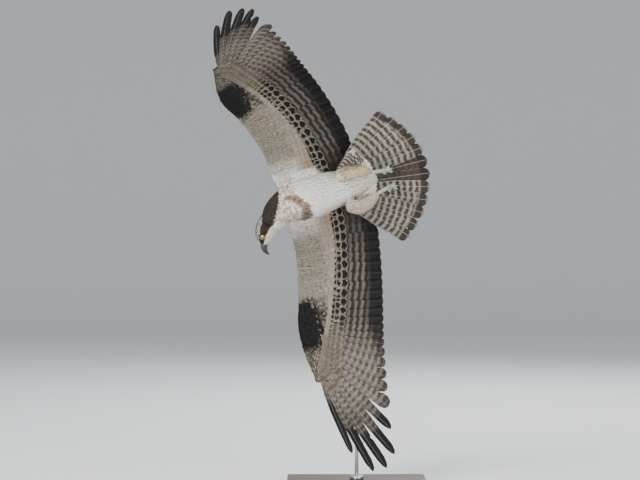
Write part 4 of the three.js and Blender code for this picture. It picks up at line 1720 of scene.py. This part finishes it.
    def _long_vane(self, kind: Row, count: int, i: int, far: float, above: int, tier: float) -> Vane:
        """Shapes one feather of a long row.

        Args:
            kind: which row it is.
            count: how many feathers the row has.
            i: the feather's number from the body outwards.
            far: how far it reaches along its flight feather.
            above: 1 upper side, -1 lower, 0 flight feathers.
            tier: the row's height over the layer before.
        Returns:
            The vane.
        """
        flight = kind is Row.FLIGHT
        s, step = i / (count - 1), 1 / (count - 1)
        root, tip = self.ends(s)
        near_root, near_tip = self.ends(min(1.0, s + step) if i < count - 1 else s - step)
        way = (tip - root) / np.hypot(*(tip - root))

        def apart(u: Array) -> Array:
            """Distance to the next feather along this one."""
            v = (far * u)[:, None]
            gap = (near_root - root) * (1 - v) + (near_tip - tip) * v
            return np.maximum(6.0, np.abs(gap[:, 0] * way[1] - gap[:, 1] * way[0]))

        def lean(u: Array) -> Array:
            """How the vane tilts over the next."""
            return VANE_STEP / np.minimum(apart(u), self.WIDEST)

        def height(x: Array, y: Array) -> Array:
            """How high over the wing's middle the vane lies."""
            return np.zeros_like(x) if flight else above * (self.surface(x, y) + tier)

        k = i - (count - len(self.wing.fingers))
        finger = flight and k >= 0
        middle = float(apart(np.array([0.5]))[0])
        if finger:
            half = self.wing.fingers[k][2]
        elif flight:
            half = min(23.0, max(14.0, middle * 0.8))
        else:
            half = min(18.0, max(7.0, middle * 0.72))
        end = root + (tip - root) * far
        island = (i / count, 0.0, 1 / count, 1.0)
        shaft = 0.07 + 0.4 * float(ease(s, 0.5, 0.8)) if flight else 0.0
        return Vane(root, end, half, lean, height, s, kind, finger, above, island, shaft)

    def short_rows(self, store: FeatherMesh, above: int) -> None:
        """Adds the rows of short coverts over one face of the wing's core.

        Args:
            store: the mesh store.
            above: 1 upper side, -1 lower.
        """
        top = above > 0
        leading, trailing = self.table[:, 1], self.table[:, 3]
        roots, lengths = [], []
        chord, row = 0.015, 0
        while chord < 0.9:
            y = self.SHORT_FROM + (row % 2) * 2.6
            while y < self.SHORT_TO:
                t = float(np.interp(y, leading + chord * (trailing - leading), self.table_t))
                lx, _, rx, _, _ = self.core(t)
                roots.append((lx + (rx - lx) * chord, y))
                lengths.append((9 + 17 * chord) * (1 - 0.25 * ease(y, 380, 540)))
                y += 4.6 + 3.2 * chord
            chord += 0.028 + 0.034 * chord
            row += 1
        roots = np.array(roots) + self.rng.standard_normal((len(roots), 2)) * 0.8
        n = len(roots)
        lengths = np.array(lengths) * (0.88 + 0.24 * self.rng.random(n))
        share = np.clip(np.interp(roots[:, 1], self.roots.values[:, 1], self.roots.keys), 0, 1)
        way = unit(self.tips(share) - self.roots(share))
        way = unit(way + 0.1 * self.rng.standard_normal((n, 2)))
        flat = roots[:, None, :] + way[:, None, :] * (lengths[:, None] * TUFT_U[None, :])[..., None]
        x, y = flat[..., 0].ravel(), flat[..., 1].ravel()
        h = above * (self.surface(x, y) + 0.5)
        centres = self.wing.place(x, y, h).reshape(n, 5, 3)
        outer = self.wing.place(x, y, h + above).reshape(n, 5, 3)
        normals = unit(outer - centres)
        tint = MARKINGS.wing(roots[:, 0], roots[:, 1], np.full(n, float(top)))
        tint = tint * (0.85 + 0.25 * self.rng.random((n, 1)))
        dark = tint.mean(axis=1)[:, None] < self.DARK
        fringe = np.where(dark, tint * (2.4 if top else 1.5) + 0.012, np.minimum(tint * 1.1, 0.8))
        forward = (roots[:, 0] + 40) / 280 * 0.46 + (0.5 if top else 0.02)
        patch = np.clip(np.stack([roots[:, 1] / 560, forward], axis=1), 0.004, 0.99)
        half = lengths * 0.3
        lift = 0.9 + 0.5 * self.rng.random(n)
        streak = 0.25 * self.rng.random(n)
        Tufts(centres, normals, half, lift, tint, fringe, streak, patch).add_to(store, self.rng)

    def _covert_reach(self, row: int, above: int) -> Callable[[float], float]:
        """Finds how far a row of long coverts reaches along the flight feathers.

        Args:
            row: 0 for the greater coverts, 1 for the median and 2 for the lesser.
            above: 1 upper side, -1 lower.
        Returns:
            A function of the share of the way along the wing.
        """
        most, less = self.REACH[above][row]
        late = row == 0 and above > 0

        def reach(share: float) -> float:
            """The reach at a share of the way along the wing."""
            return most - less * (ease(share, 0.6, 0.9) if late else share)

        return reach

    def build(self) -> list[bpy.types.Object]:
        """Builds the wing's pieces.

        Returns:
            The pieces.
        """
        flight = FeatherMesh()
        self.long_row(flight, Row.FLIGHT, self.wing.count, lambda share: 1.0, 0, 0.0)
        made = [self._piece(flight, "flight_feathers", "plumage_dark")]
        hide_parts(f"wing_{self.name}")
        rows = ((Row.GREATER, self.wing.count, 0.4), (Row.MEDIAN, 34, 1.5), (Row.MEDIAN, 40, 2.4))
        for above, face, slot in ((-1, "under", "plumage_white"), (1, "upper", "plumage_dark")):
            coverts = FeatherMesh()
            for row, (kind, count, tier) in enumerate(rows):
                self.long_row(coverts, kind, count, self._covert_reach(row, above), above, tier)
            made.append(self._piece(coverts, f"{face}_coverts", slot))
            short = FeatherMesh()
            self.short_rows(short, above)
            made.append(self._piece(short, f"{face}_lining", slot))
        return made

    def _piece(self, store: FeatherMesh, part: str, slot: str) -> bpy.types.Object:
        """Makes a piece of the wing from a mesh store."""
        name = f"wing_{self.name}_{part}"
        return new_piece(name, store.mesh(name), FINISHES[slot], slot)


# The tail


class Tail:
    """The tail's twelve feathers and its coverts."""

    COVERT_PAIRS = 9
    COVERT_TIERS = (1.1, 1.8, 2.5)

    def __init__(self, rng: np.random.Generator) -> None:
        """Keeps the source of chance."""
        self.rng = rng

    def paint_tail(self, vane: Vane, u: Array, v: Array, up: Array, rng: np.random.Generator) -> tuple:
        """Colours of a tail feather: pale with brown bars, the last bar broad, and a pale tip; the middle
        pair dark brown as painted shade of the split down the fan.

        Args:
            vane: the feather.
            u: places along it, from 0.
            v: places across it, -1 to 1.
            up: 1 on its upper face, else 0.
            rng: the source of chance.
        Returns:
            The ground's colour, the bars' colour and the bars' strength.
        """
        n = len(u)
        # painted shade: the middle pair dark brown, for the shaded split down the middle of the fan
        middle = 0.85 if vane.share < 0.1 else 0.0
        tint = np.tile(np.array(PALETTE.pale) * (0.48 + 0.16 * rng.random()), (n, 1))
        tint = blend_colours(middle + 0.72 * up * (1 - middle), tint, PALETTE.brown)
        last = ease(u, 0.84, 0.875) * ease(u, 0.985, 0.965)
        tint = blend_colours(last * 0.94, tint, PALETTE.brown)
        shade = np.tile(np.array(PALETTE.umber) * 0.8, (n, 1))
        shade = blend_colours(ease(np.abs(v), 0.86, 1.0) * 0.3, shade, PALETTE.pale)
        bars = ease(u, 0.05, 0.12) * ease(u, 0.86, 0.82) * (0.95 - 0.45 * ease(np.abs(v), 0.7, 1.0))
        return tint, shade, bars

    def paint_covert(self, vane: Vane, u: Array, v: Array, up: Array, rng: np.random.Generator) -> tuple:
        """Colours of a tail covert: whitish below, brown with a pale edge above.

        Args:
            vane: the feather.
            u: places along it, from 0.
            v: places across it, -1 to 1.
            up: not used.
            rng: the source of chance.
        Returns:
            The ground's colour, the bars' colour and the bars' strength.
        """
        n = len(u)
        if vane.above > 0:
            edge = np.maximum(ease(np.abs(v), 0.7, 1.0), ease(u, 0.9, 1.0)) * 0.5
            tint = blend_colours(edge, np.tile(PALETTE.umber, (n, 1)), PALETTE.tan)
        else:
            tint = blend_colours(0.2 * ease(u, 0.4, 0.8), np.tile(PALETTE.white, (n, 1)), PALETTE.cream)
            outer = float(ease(vane.share, 0.35, 0.6)) * (1 if rng.random() < 0.9 else 0.4)
            tint = blend_colours(outer * 0.9 * ease(u, 0.0, 0.3), tint, np.array(PALETTE.pale) * 0.7)
            shade = np.tile(np.array(PALETTE.umber) * 0.9, (n, 1))
            return tint, shade, outer * ease(u, 0.0, 0.2) * 0.9
        return tint * (0.88 + 0.2 * rng.random()), tint, np.zeros(n)

    def fan_side(
        self, store: FeatherMesh, side: int, pairs: int, start: float, reach: float, half: float,
        above: int, kind: Row, tier: float,
    ) -> None:
        """Adds one side of a fan of feathers, from the middle outwards.

        Args:
            store: the mesh store.
            side: 1 for left, -1 for right.
            pairs: how many feathers the side has.
            start: the radius where they start.
            reach: how far they reach along the tail feathers.
            half: half their width.
            above: 1 upper side, -1 lower, 0 tail feathers.
            kind: which row it is.
            tier: how many layers it lies over the tail's middle.
        """
        step = TAIL.half / (pairs - 0.5)
        flight = kind is Row.FLIGHT
        paint = self.paint_tail if flight else self.paint_covert
        for i in range(pairs):
            aside = side * step * (i + 0.5)
            far = TAIL.outer_reach + (TAIL.reach - TAIL.outer_reach) * math.cos(math.radians(aside * 1.7))
            end = TAIL.root + (far - TAIL.root) * reach
            level = above * VANE_TIER * tier + (1.6 * VANE_STEP if i == 0 and side > 0 else 0.0)

            def lean(u: Array, end: float = end) -> Array:
                """How a vane tilts over the next."""
                return -side * VANE_STEP / ((start + (end - start) * u) * math.radians(step))

            def height(x: Array, y: Array, level: float = level) -> Array:
                """How high over the tail's middle a vane lies."""
                return np.full_like(x, level)

            number = pairs + side * i - (0 if side > 0 else 1)
            island = (number / (2 * pairs), 0.0, 1 / (2 * pairs), 1.0)
            vane = Vane(
                TAIL.fan(start, aside), TAIL.fan(end, aside), half, lean, height, i / pairs, kind, False,
                above, island, 0.7 if flight else 0.0,
            )
            vane.add_to(store, TAIL.place, paint, self.rng)

    def build(self) -> list[bpy.types.Object]:
        """Builds the tail's pieces.

        Returns:
            The pieces.
        """
        start, half, slot = TAIL.root - 18, TAIL.half_width, "plumage_dark"
        store = FeatherMesh()
        for side in (1, -1):
            self.fan_side(store, side, TAIL.pairs, start, 1.0, half, 0, Row.FLIGHT, 0.0)
        made = [new_piece("tail_feathers", store.mesh("tail_feathers"), FINISHES[slot], slot)]
        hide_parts("tail")
        for above, name, slot, reaches in (
            (-1, "tail_under_coverts", "plumage_white", (0.16, 0.09, 0.02)),
            (1, "tail_upper_coverts", "plumage_dark", (0.42, 0.3, 0.12)),
        ):
            coverts = FeatherMesh()
            for side in (1, -1):
                for row, (reach, tier) in enumerate(zip(reaches, self.COVERT_TIERS)):
                    start, half = TAIL.root - 40 - 10 * row, 10.0 - row
                    pairs = self.COVERT_PAIRS
                    self.fan_side(coverts, side, pairs, start, reach, half, above, Row.GREATER, tier)
            made.append(new_piece(name, coverts.mesh(name), FINISHES[slot], slot))
        return made


# Eyes and bill


@dataclass(frozen=True)
class Eyes:
    """The eyes, their lids and where they sit in the head."""

    along: float = 20.0
    up: float = 5.0
    out: float = 16.5
    radius: float = 8.6
    cornea: float = 0.9
    lid: float = 7.7
    lid_half: float = 1.0
    lid_dome: float = 9.0
    lid_rise: float = 0.55
    lean: float = 0.18

    def centre(self, side: int) -> Array:
        """The middle of an eye."""
        return BODY.head.point(self.along, self.up, side * self.out)

    def outward(self, side: int) -> Array:
        """The way an eye looks."""
        return unit(np.array(BODY.head.left) * side + np.array(BODY.head.forward) * self.lean)

    def _frame(self, side: int) -> tuple[Array, Array, Array]:
        """The eye's outward direction and two directions across it."""
        n = self.outward(side)
        a = unit(np.cross(n, BODY.head.up))
        return n, a, np.cross(n, a)

    def build(self, name: str, side: int) -> list[bpy.types.Object]:
        """Builds one eye and its lids."""
        return [self._ball(name, side), self._lids(name, side)]

    def _ball(self, name: str, side: int) -> bpy.types.Object:
        """Builds an eyeball with its cornea and an attribute that tells its rings.

        Args:
            name: left or right.
            side: 1 for left, -1 for right.
        Returns:
            The piece.
        """
        n, a, b = self._frame(side)
        shape = bmesh.new()
        bmesh.ops.create_uvsphere(shape, u_segments=48, v_segments=40, radius=1.0)
        rings = []
        for vert in shape.verts:
            x, y, z = vert.co
            ring = math.acos(max(-1.0, min(1.0, z)))
            bulge = self.cornea * max(0.0, math.cos(min(math.pi / 2, ring * 2.1)))
            place = self.centre(side) + (self.radius * (a * x + b * y + n * z)) + n * bulge
            vert.co = FLIGHT.vector(place)
            rings.append(ring)
        mesh = mesh_of(shape, f"eye_{name}_ball")
        write_numbers(mesh, "ring", rings)
        ball = new_piece(f"eye_{name}_ball", mesh, FINISHES["eye"], "eye")
        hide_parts(f"eye_{name}")
        return ball

    def _lids(self, name: str, side: int) -> bpy.types.Object:
        """Builds the lids: a ring spun round the eye and drawn to a corner fore and aft.

        Args:
            name: left or right.
            side: 1 for left, -1 for right.
        Returns:
            The piece.
        """
        n, a, b = self._frame(side)
        centre = self.centre(side)
        spun = 5.0
        rim = bmesh.new()
        rise = math.sqrt(self.lid_dome**2 - self.lid**2) + self.lid_rise

        def at(t: float, angle: float) -> Array:
            """The lids' skin."""
            turn = 2 * math.pi * t
            wide = self.lid * (1 + 0.16 * abs(math.cos(turn)) ** 6)
            way = a * math.cos(turn) + b * math.sin(turn)
            r = self.lid_half * (1.0 + 0.45 * max(0.0, float(np.dot(way, BODY.head.up))))
            return centre + way * (wide + math.cos(angle) * r) + n * (rise + math.sin(angle) * r)

        ring = bmesh.ops.create_circle(rim, segments=10, radius=1.0)["verts"]
        edges = list({edge for vert in ring for edge in vert.link_edges})
        bmesh.ops.translate(rim, verts=ring, vec=(spun, 0.0, 0.0))
        bmesh.ops.rotate(rim, verts=ring, cent=(spun, 0, 0), matrix=Matrix.Rotation(math.pi / 2, 3, "X"))
        bmesh.ops.spin(
            rim, geom=ring + edges, cent=(0, 0, 0), axis=(0, 0, 1), angle=2 * math.pi, steps=48,
            use_merge=True,
        )
        for vert in rim.verts:
            turn = math.atan2(vert.co.y, vert.co.x) / (2 * math.pi) % 1.0
            angle = math.atan2(vert.co.z, math.hypot(vert.co.x, vert.co.y) - spun)
            vert.co = FLIGHT.vector(at(turn, angle))
        bmesh.ops.remove_doubles(rim, verts=rim.verts, dist=1e-7)
        return new_piece(f"eye_{name}_lids", mesh_of(rim, f"eye_{name}_lids"), FINISHES["lid"], "bill_horn")


EYES = Eyes()


@dataclass(frozen=True)
class Bill:
    """The hooked bill with its cere and nostrils."""

    line: tuple = ((34, -4), (46, -7), (55, -11), (62, -18), (66.5, -26), (66.5, -32))
    half: tuple = (9.5, 8.8, 7.6, 5.6, 2.6, 0.7)
    lower: tuple = ((33, -14), (46, -15), (57, -18))
    lower_half: tuple = (7.2, 6.4, 2.2)
    cere: float = 0.36

    def _half_bill(self, name: str, line: tuple, halves: tuple, flat: float, lift: float) -> bpy.types.Object:
        """Builds one half of the bill with an attribute that runs to its tip.

        Args:
            name: upper or lower.
            line: its middle line in the head's frame.
            halves: its half width along the line.
            flat: its width as a share of that.
            lift: its height as a share of that.
        Returns:
            The piece.
        """
        curve = Track([BODY.head.point(a, u) for a, u in line], keyed=False)
        half = Track([[h] for h in halves], keyed=False)
        left = np.array(BODY.head.left)
        upper = name == "upper"

        def at(t: float, angle: float) -> Array:
            """The bill's surface."""
            up = unit(np.cross(left, curve.tangent(t)))
            r = max(0.12, half(t)[0])
            cere = 1.0 + (0.06 * float(ease(t, self.cere, self.cere - 0.05)) if upper else 0.0)
            keel = 1.0 + 0.12 * max(0.0, math.sin(angle)) ** 6
            edge = 1.0 - 0.10 * max(0.0, -math.sin(angle)) ** 2 if upper else 1.0
            across = math.cos(angle) * r * flat * cere * edge
            return curve(t) + left * across + up * math.sin(angle) * r * lift * cere * keel

        shape = bmesh.new()
        tube(shape, at, curve, 32, 40)
        along = []
        axis = [curve(t / 60) for t in range(61)]
        for vert in shape.verts:
            gaps = [float(np.sum((np.array(vert.co) - p) ** 2)) for p in axis]
            along.append(gaps.index(min(gaps)) / 60)
            vert.co = FLIGHT.vector(np.array(vert.co))
        mesh = mesh_of(shape, f"bill_{name}_horn")
        write_numbers(mesh, "tipward", along)
        piece = new_piece(f"bill_{name}_horn", mesh, FINISHES["bill_horn"], "bill_horn")
        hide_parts(f"bill_{name}")
        return piece

    def build(self) -> list[bpy.types.Object]:
        """Builds both halves and the nostrils.

        Returns:
            The pieces.
        """
        made = [
            self._half_bill("upper", self.line, self.half, 0.82, 1.0),
            self._half_bill("lower", self.lower, self.lower_half, 0.95, 0.55),
        ]
        shape = bmesh.new()
        for side in (1, -1):
            ball = bmesh.ops.create_uvsphere(shape, u_segments=14, v_segments=10, radius=1.0)["verts"]
            for vert in ball:
                a, u, out = vert.co.x * 2.3, vert.co.y * 1.0 + vert.co.x * 0.9, vert.co.z * 0.8
                place = BODY.head.point(46.5 + a, -3.2 + u, side * (6.9 + out))
                vert.co = FLIGHT.vector(place)
        made.append(new_piece("bill_nostrils", mesh_of(shape, "bill_nostrils"), FINISHES["lid"], "bill_horn"))
        return made


# Legs and feet


@dataclass(frozen=True)
class Feet:
    """The shanks, toes and claws, tucked back under the tail."""

    ankle: tuple = (-150, 47, -48)
    hock: tuple = (-173, 35, -43)
    sole: tuple = (-211, 26, -42)
    shank: float = 6.0
    toe_length: float = 30.0
    toe_half: tuple = (4.2, 4.2, 3.1)
    claw_length: float = 24.0
    claw_half: float = 3.1
    ways: tuple = ((-0.9, 0.6, 0.05), (-1, 0.1, -0.2), (-0.95, -0.4, 0), (0.2, 0.1, -1))
    curl: tuple = (0.35, 0, -0.9)

    def build(self, name: str, side: int) -> list[bpy.types.Object]:
        """Builds one foot and its claws.

        Args:
            name: left or right.
            side: 1 for left, -1 for right.
        Returns:
            The pieces.
        """
        mirror = np.array((1, side, 1))
        ankle, hock, sole = (np.array(p, float) * mirror for p in (self.ankle, self.hock, self.sole))
        curl = unit(np.array(self.curl))
        foot = bmesh.new()
        shank = (self.shank, self.shank * 0.92, self.shank * 1.05)
        limb(foot, [ankle, hock, sole], shank, 20, 40, pads=0.02, count=9)
        made = []
        for number, raw in enumerate(self.ways, 1):
            way = unit(np.array(raw) * mirror)
            knuckle = sole + way * self.toe_length * 0.55
            tip = knuckle + way * self.toe_length * 0.3 + curl * self.toe_length * 0.35
            heading = unit(tip - knuckle)
            limb(foot, [sole, knuckle, tip + heading * 1.5], self.toe_half, 20, 40, pads=0.09, count=3)
            bend = tip + heading * self.claw_length * 0.45 + curl * self.claw_length * 0.2
            point = bend + curl * self.claw_length * 0.5 - way * self.claw_length * 0.12
            claw = bmesh.new()
            horn = (self.claw_half, self.claw_half * 0.75, 0.3)
            limb(claw, [tip - heading * 2.5, bend, point], horn, 20, 40)
            made.append(self._piece(claw, f"claw_{name}_{number}_horn", f"claw_{name}_{number}", "claw_horn"))
        made.append(self._piece(foot, f"foot_{name}_skin", f"foot_{name}", "leg_scales"))
        return made

    @staticmethod
    def _piece(shape: bmesh.types.BMesh, name: str, node: str, slot: str) -> bpy.types.Object:
        """Places a bmesh and makes it a piece.

        Args:
            shape: the bmesh, in the bird's frame.
            name: the piece's name.
            node: the node it replaces.
            slot: its finish and slot.
        Returns:
            The piece.
        """
        bmesh.ops.transform(shape, matrix=FLIGHT.matrix(), verts=shape.verts)
        piece = new_piece(name, mesh_of(shape, name), FINISHES[slot], slot)
        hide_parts(node)
        return piece


# The stand


@dataclass(frozen=True)
class Stand:
    """A wooden base and a steel post with an arm that reaches the bird's back."""

    edge: float = 0.0035

    def build(self) -> list[bpy.types.Object]:
        """Builds the five pieces in place of their nodes.

        Returns:
            The pieces.
        """
        return [
            self._block("stand_base", self.edge, "stand_wood"),
            self._block("stand_block", 0.002, "stand_steel"),
            self._rod("stand_collar", 64, 0.0015, "Z"),
            self._rod("stand_post", 48, 0.0005, "Z"),
            self._rod("stand_arm", 40, 0.0005, "Y"),
        ]

    @staticmethod
    def _finish(
        shape: bmesh.types.BMesh, node: str, slot: str, edges: list, edge: float, steps: int,
    ) -> bpy.types.Object:
        """Rounds the edges and makes the piece.

        Args:
            shape: the bmesh, in place.
            node: the node it replaces.
            slot: its finish and slot.
            edges: the edges to round.
            edge: how far they are rounded, in metres.
            steps: how many segments the rounding has.
        Returns:
            The piece.
        """
        bmesh.ops.bevel(
            shape, geom=edges, offset=edge, segments=steps, profile=0.5, affect="EDGES", material=-1,
        )
        mesh = mesh_of(shape, f"{node}_piece")
        piece = new_piece(f"{node}_piece", mesh, FINISHES[slot], slot)
        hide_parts(node)
        return piece

    def _block(self, node: str, edge: float, slot: str) -> bpy.types.Object:
        """A box with rounded edges.

        Args:
            node: the node at whose place it stands.
            edge: how far its edges are rounded, in metres.
            slot: its finish and slot.
        Returns:
            The piece.
        """
        low, high = (np.array(c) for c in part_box(node))
        shape = bmesh.new()
        bmesh.ops.create_cube(shape, size=1.0)
        bmesh.ops.scale(shape, verts=shape.verts, vec=Vector(high - low))
        bmesh.ops.translate(shape, verts=shape.verts, vec=Vector((high + low) / 2))
        return self._finish(shape, node, slot, list(shape.edges), edge, 4)

    def _rod(self, node: str, sides: int, edge: float, way: str) -> bpy.types.Object:
        """A rod with rounded ends.

        Args:
            node: the node at whose place it stands.
            sides: corners round it.
            edge: how far its ends are rounded, in metres.
            way: the axis that it follows, Y or Z.
        Returns:
            The piece.
        """
        low, high = (np.array(c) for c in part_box(node))
        size = high - low
        k = "XYZ".index(way)
        radius = size[(k + 1) % 3] / 2
        shape = bmesh.new()
        bmesh.ops.create_cone(
            shape, cap_ends=True, segments=sides, radius1=radius, radius2=radius, depth=size[k],
        )
        if way == "Y":
            bmesh.ops.rotate(shape, verts=shape.verts, matrix=Matrix.Rotation(math.pi / 2, 3, "X"))
        bmesh.ops.translate(shape, verts=shape.verts, vec=Vector((high + low) / 2))
        caps = [e for f in shape.faces if len(f.verts) > 4 for e in f.edges]
        return self._finish(shape, node, "stand_steel", caps, edge, 3)


# Finishes


@dataclass(frozen=True)
class EyeFinish:
    """A yellow iris round a black pupil under a wet surface."""

    name: str = "eye"
    painted_body_shadow: Colour = (0.62, 0.38, 0.03)
    outer: Colour = (0.46, 0.24, 0.012)
    rim: Colour = (0.02, 0.012, 0.006)
    pupil: Colour = (0.004, 0.004, 0.005)

    def make(self) -> bpy.types.Material:
        """Builds the material.

        Returns:
            The material.
        """
        s = Shader(self.name)
        ring = s.attribute("ring")
        streaks = s.noise(900.0, 2.0)
        iris = s.mix(ring.step(0.42, 0.78) + streaks * 0.25 - 0.1, self.painted_body_shadow, self.outer)
        rimmed = s.mix(ring.step(0.80, 0.92), iris, self.rim)
        colour = s.mix(ring.step(0.42, 0.46), self.pupil, rimmed)
        s.finish(colour, 0.12, Coat_Weight=1.0, Coat_Roughness=0.02)
        return s.material


@dataclass(frozen=True)
class BillFinish:
    """Blue-grey cere and base, darkening to a black hook."""

    name: str = "bill_horn"
    light: Colour = (0.034, 0.042, 0.053)
    dark: Colour = (0.018, 0.022, 0.028)
    hook: Colour = (0.012, 0.012, 0.014)

    def make(self) -> bpy.types.Material:
        """Builds the material.

        Returns:
            The material.
        """
        s = Shader(self.name)
        tipward = s.attribute("tipward")
        cloud = s.noise(260.0, 3.0)
        base = s.mix(cloud.step(0.3, 0.75), self.light, self.dark)
        colour = s.mix((tipward + cloud * 0.12).step(0.3, 0.62), base, self.hook)
        s.finish(colour, cloud * 0.15 + 0.3, cloud, 0.00008)
        return s.material


@dataclass(frozen=True)
class LegFinish:
    """Pale greenish-grey skin in small raised scales."""

    name: str = "leg_scales"
    between: Colour = (0.16, 0.17, 0.13)
    scale: Colour = (0.46, 0.49, 0.43)
    density: float = 520.0

    def make(self) -> bpy.types.Material:
        """Builds the material.

        Returns:
            The material.
        """
        s = Shader(self.name)
        inputs = {"Vector": s.place(), "Scale": self.density}
        cells = s.node("ShaderNodeTexVoronoi", {"feature": "DISTANCE_TO_EDGE"}, inputs, "Distance")
        raised = cells.step(0.02, 0.16)
        s.finish(s.mix(raised, self.between, self.scale), 0.55, raised, 0.0003)
        return s.material


@dataclass(frozen=True)
class WoodFinish:
    """Dark stained wood with its grain along the base's length."""

    name: str = "stand_wood"
    light: Colour = (0.11, 0.052, 0.024)
    dark: Colour = (0.032, 0.014, 0.007)
    stretch: tuple = (1.6, 22.0, 22.0)

    def make(self) -> bpy.types.Material:
        """Builds the material.

        Returns:
            The material.
        """
        s = Shader(self.name)
        where = s.node("ShaderNodeMapping", {}, {"Vector": s.place(), "Scale": self.stretch}, "Vector")
        grain = s.noise(3.0, 6.0, where)
        fine = s.noise(26.0, 3.0, where)
        mixed = grain * 0.7 + fine * 0.3
        colour = s.mix(mixed.step(0.35, 0.68), self.light, self.dark)
        s.finish(colour, fine * 0.15 + 0.3, mixed, 0.0002, Coat_Weight=0.25, Coat_Roughness=0.15)
        return s.material


FINISHES: dict[str, bpy.types.Material] = {}


def make_finishes() -> None:
    """Makes each finish once and keeps it by its name."""
    for finish in (
        Plumage("plumage_white", 0.62),
        Plumage("plumage_dark", 0.52),
        Plumage("plumage_buff", 0.66),
        BillFinish(),
        EyeFinish(),
        Plain("lid", (0.014, 0.013, 0.014), 0.45, 0.1),
        LegFinish(),
        Plain("claw_horn", (0.012, 0.012, 0.013), 0.22, 0.12),
        WoodFinish(),
        Plain("stand_steel", (0.48, 0.49, 0.50), 0.26, 0.1, metallic=1.0),
    ):
        FINISHES[finish.name] = finish.make()


# The studio


@dataclass(frozen=True)
class Studio:
    """Camera, lights and a pale bowl of floor and backdrop."""

    place: tuple = (-0.110, -5.150, 0.745)
    lens: float = 96.98
    radius: float = 13.0
    wall: float = 9.0
    bend: float = 3.5
    pale: Colour = (0.62, 0.63, 0.64)
    sky: Colour = (0.93, 0.96, 1.0)
    sky_strength: float = 0.75
    target: tuple = (-0.1, -0.1, 0.8)
    lights: tuple = (
        ("key", (-2.6, -3.6, 4.2), 2.2, 420.0),
        ("fill", (3.4, -4.2, 1.6), 3.0, 130.0),
        ("back", (1.2, 3.4, 3.6), 2.4, 240.0),
        ("low", (-0.9, -3.4, 0.75), 1.2, 50.0),
    )

    def build(self) -> None:
        """Builds the camera, the bowl, the lights and the sky."""
        self._camera()
        self._bowl()
        for name, place, size, power_watts in self.lights:
            self._light(name, place, size, power_watts)
        world = bpy.data.worlds.new("studio")
        world.use_nodes = True
        inputs = world.node_tree.nodes["Background"].inputs
        inputs["Color"].default_value = (*self.sky, 1.0)
        inputs["Strength"].default_value = self.sky_strength
        bpy.context.scene.world = world

    def _camera(self) -> None:
        """The camera where the photograph was taken from, looking level at the bird's underside."""
        data = bpy.data.cameras.new("camera")
        data.lens = self.lens
        data.sensor_width = 36.0
        data.clip_end = 100.0
        camera = add_object("camera", data)
        camera.location = self.place
        camera.rotation_euler = (math.pi / 2, 0.0, 0.0)
        bpy.context.scene.camera = camera

    def _light(self, name: str, place: tuple, size: float, power_watts: float) -> None:
        """A soft square light that faces the bird.

        Args:
            name: its name.
            place: where it stands, in metres.
            size: how wide it is, in metres.
            power_watts: its power.
        """
        data = bpy.data.lights.new(name, "AREA")
        data.size = size
        data.energy = power_watts
        light = add_object(name, data)
        light.location = place
        light.rotation_euler = (Vector(self.target) - Vector(place)).to_track_quat("-Z", "Y").to_euler()

    def _bowl(self) -> None:
        """Floor and backdrop in one smooth turned surface."""
        shape = bmesh.new()
        steps = 24
        profile = [(0.0, 0.0), (self.radius - self.bend, 0.0)]
        for i in range(1, steps + 1):
            a = math.pi / 2 * i / steps
            profile.append((self.radius - self.bend + self.bend * math.sin(a), self.bend * (1 - math.cos(a))))
        profile.append((self.radius, self.wall))
        verts = [shape.verts.new((r, 0.0, z - 0.0005)) for r, z in profile]
        edges = [shape.edges.new(pair) for pair in zip(verts, verts[1:])]
        bmesh.ops.spin(
            shape, geom=verts + edges, cent=(0, 0, 0), axis=(0, 0, 1), angle=2 * math.pi, steps=96,
            use_merge=True,
        )
        bmesh.ops.remove_doubles(shape, verts=shape.verts, dist=1e-5)
        mesh = mesh_of(shape, "floor")
        mesh.flip_normals()
        floor = add_object("floor", mesh)
        mesh.materials.append(Plain("floor", self.pale, 0.8).make())


# Assembly


def main() -> None:
    """Builds everything in order."""
    logging.basicConfig(level=logging.INFO, format="%(message)s")
    rng = np.random.default_rng(SEED)
    Studio().build()
    make_finishes()
    skin = Skin()
    Coat(skin, rng).build()
    skin.build()
    for name, wing in (("left", LEFT_WING), ("right", RIGHT_WING)):
        Wing(name, wing, rng).build()
    Tail(rng).build()
    for name, side in (("left", 1), ("right", -1)):
        EYES.build(name, side)
        Feet().build(name, side)
    Bill().build()
    Stand().build()


if __name__ == "__main__":
    main()
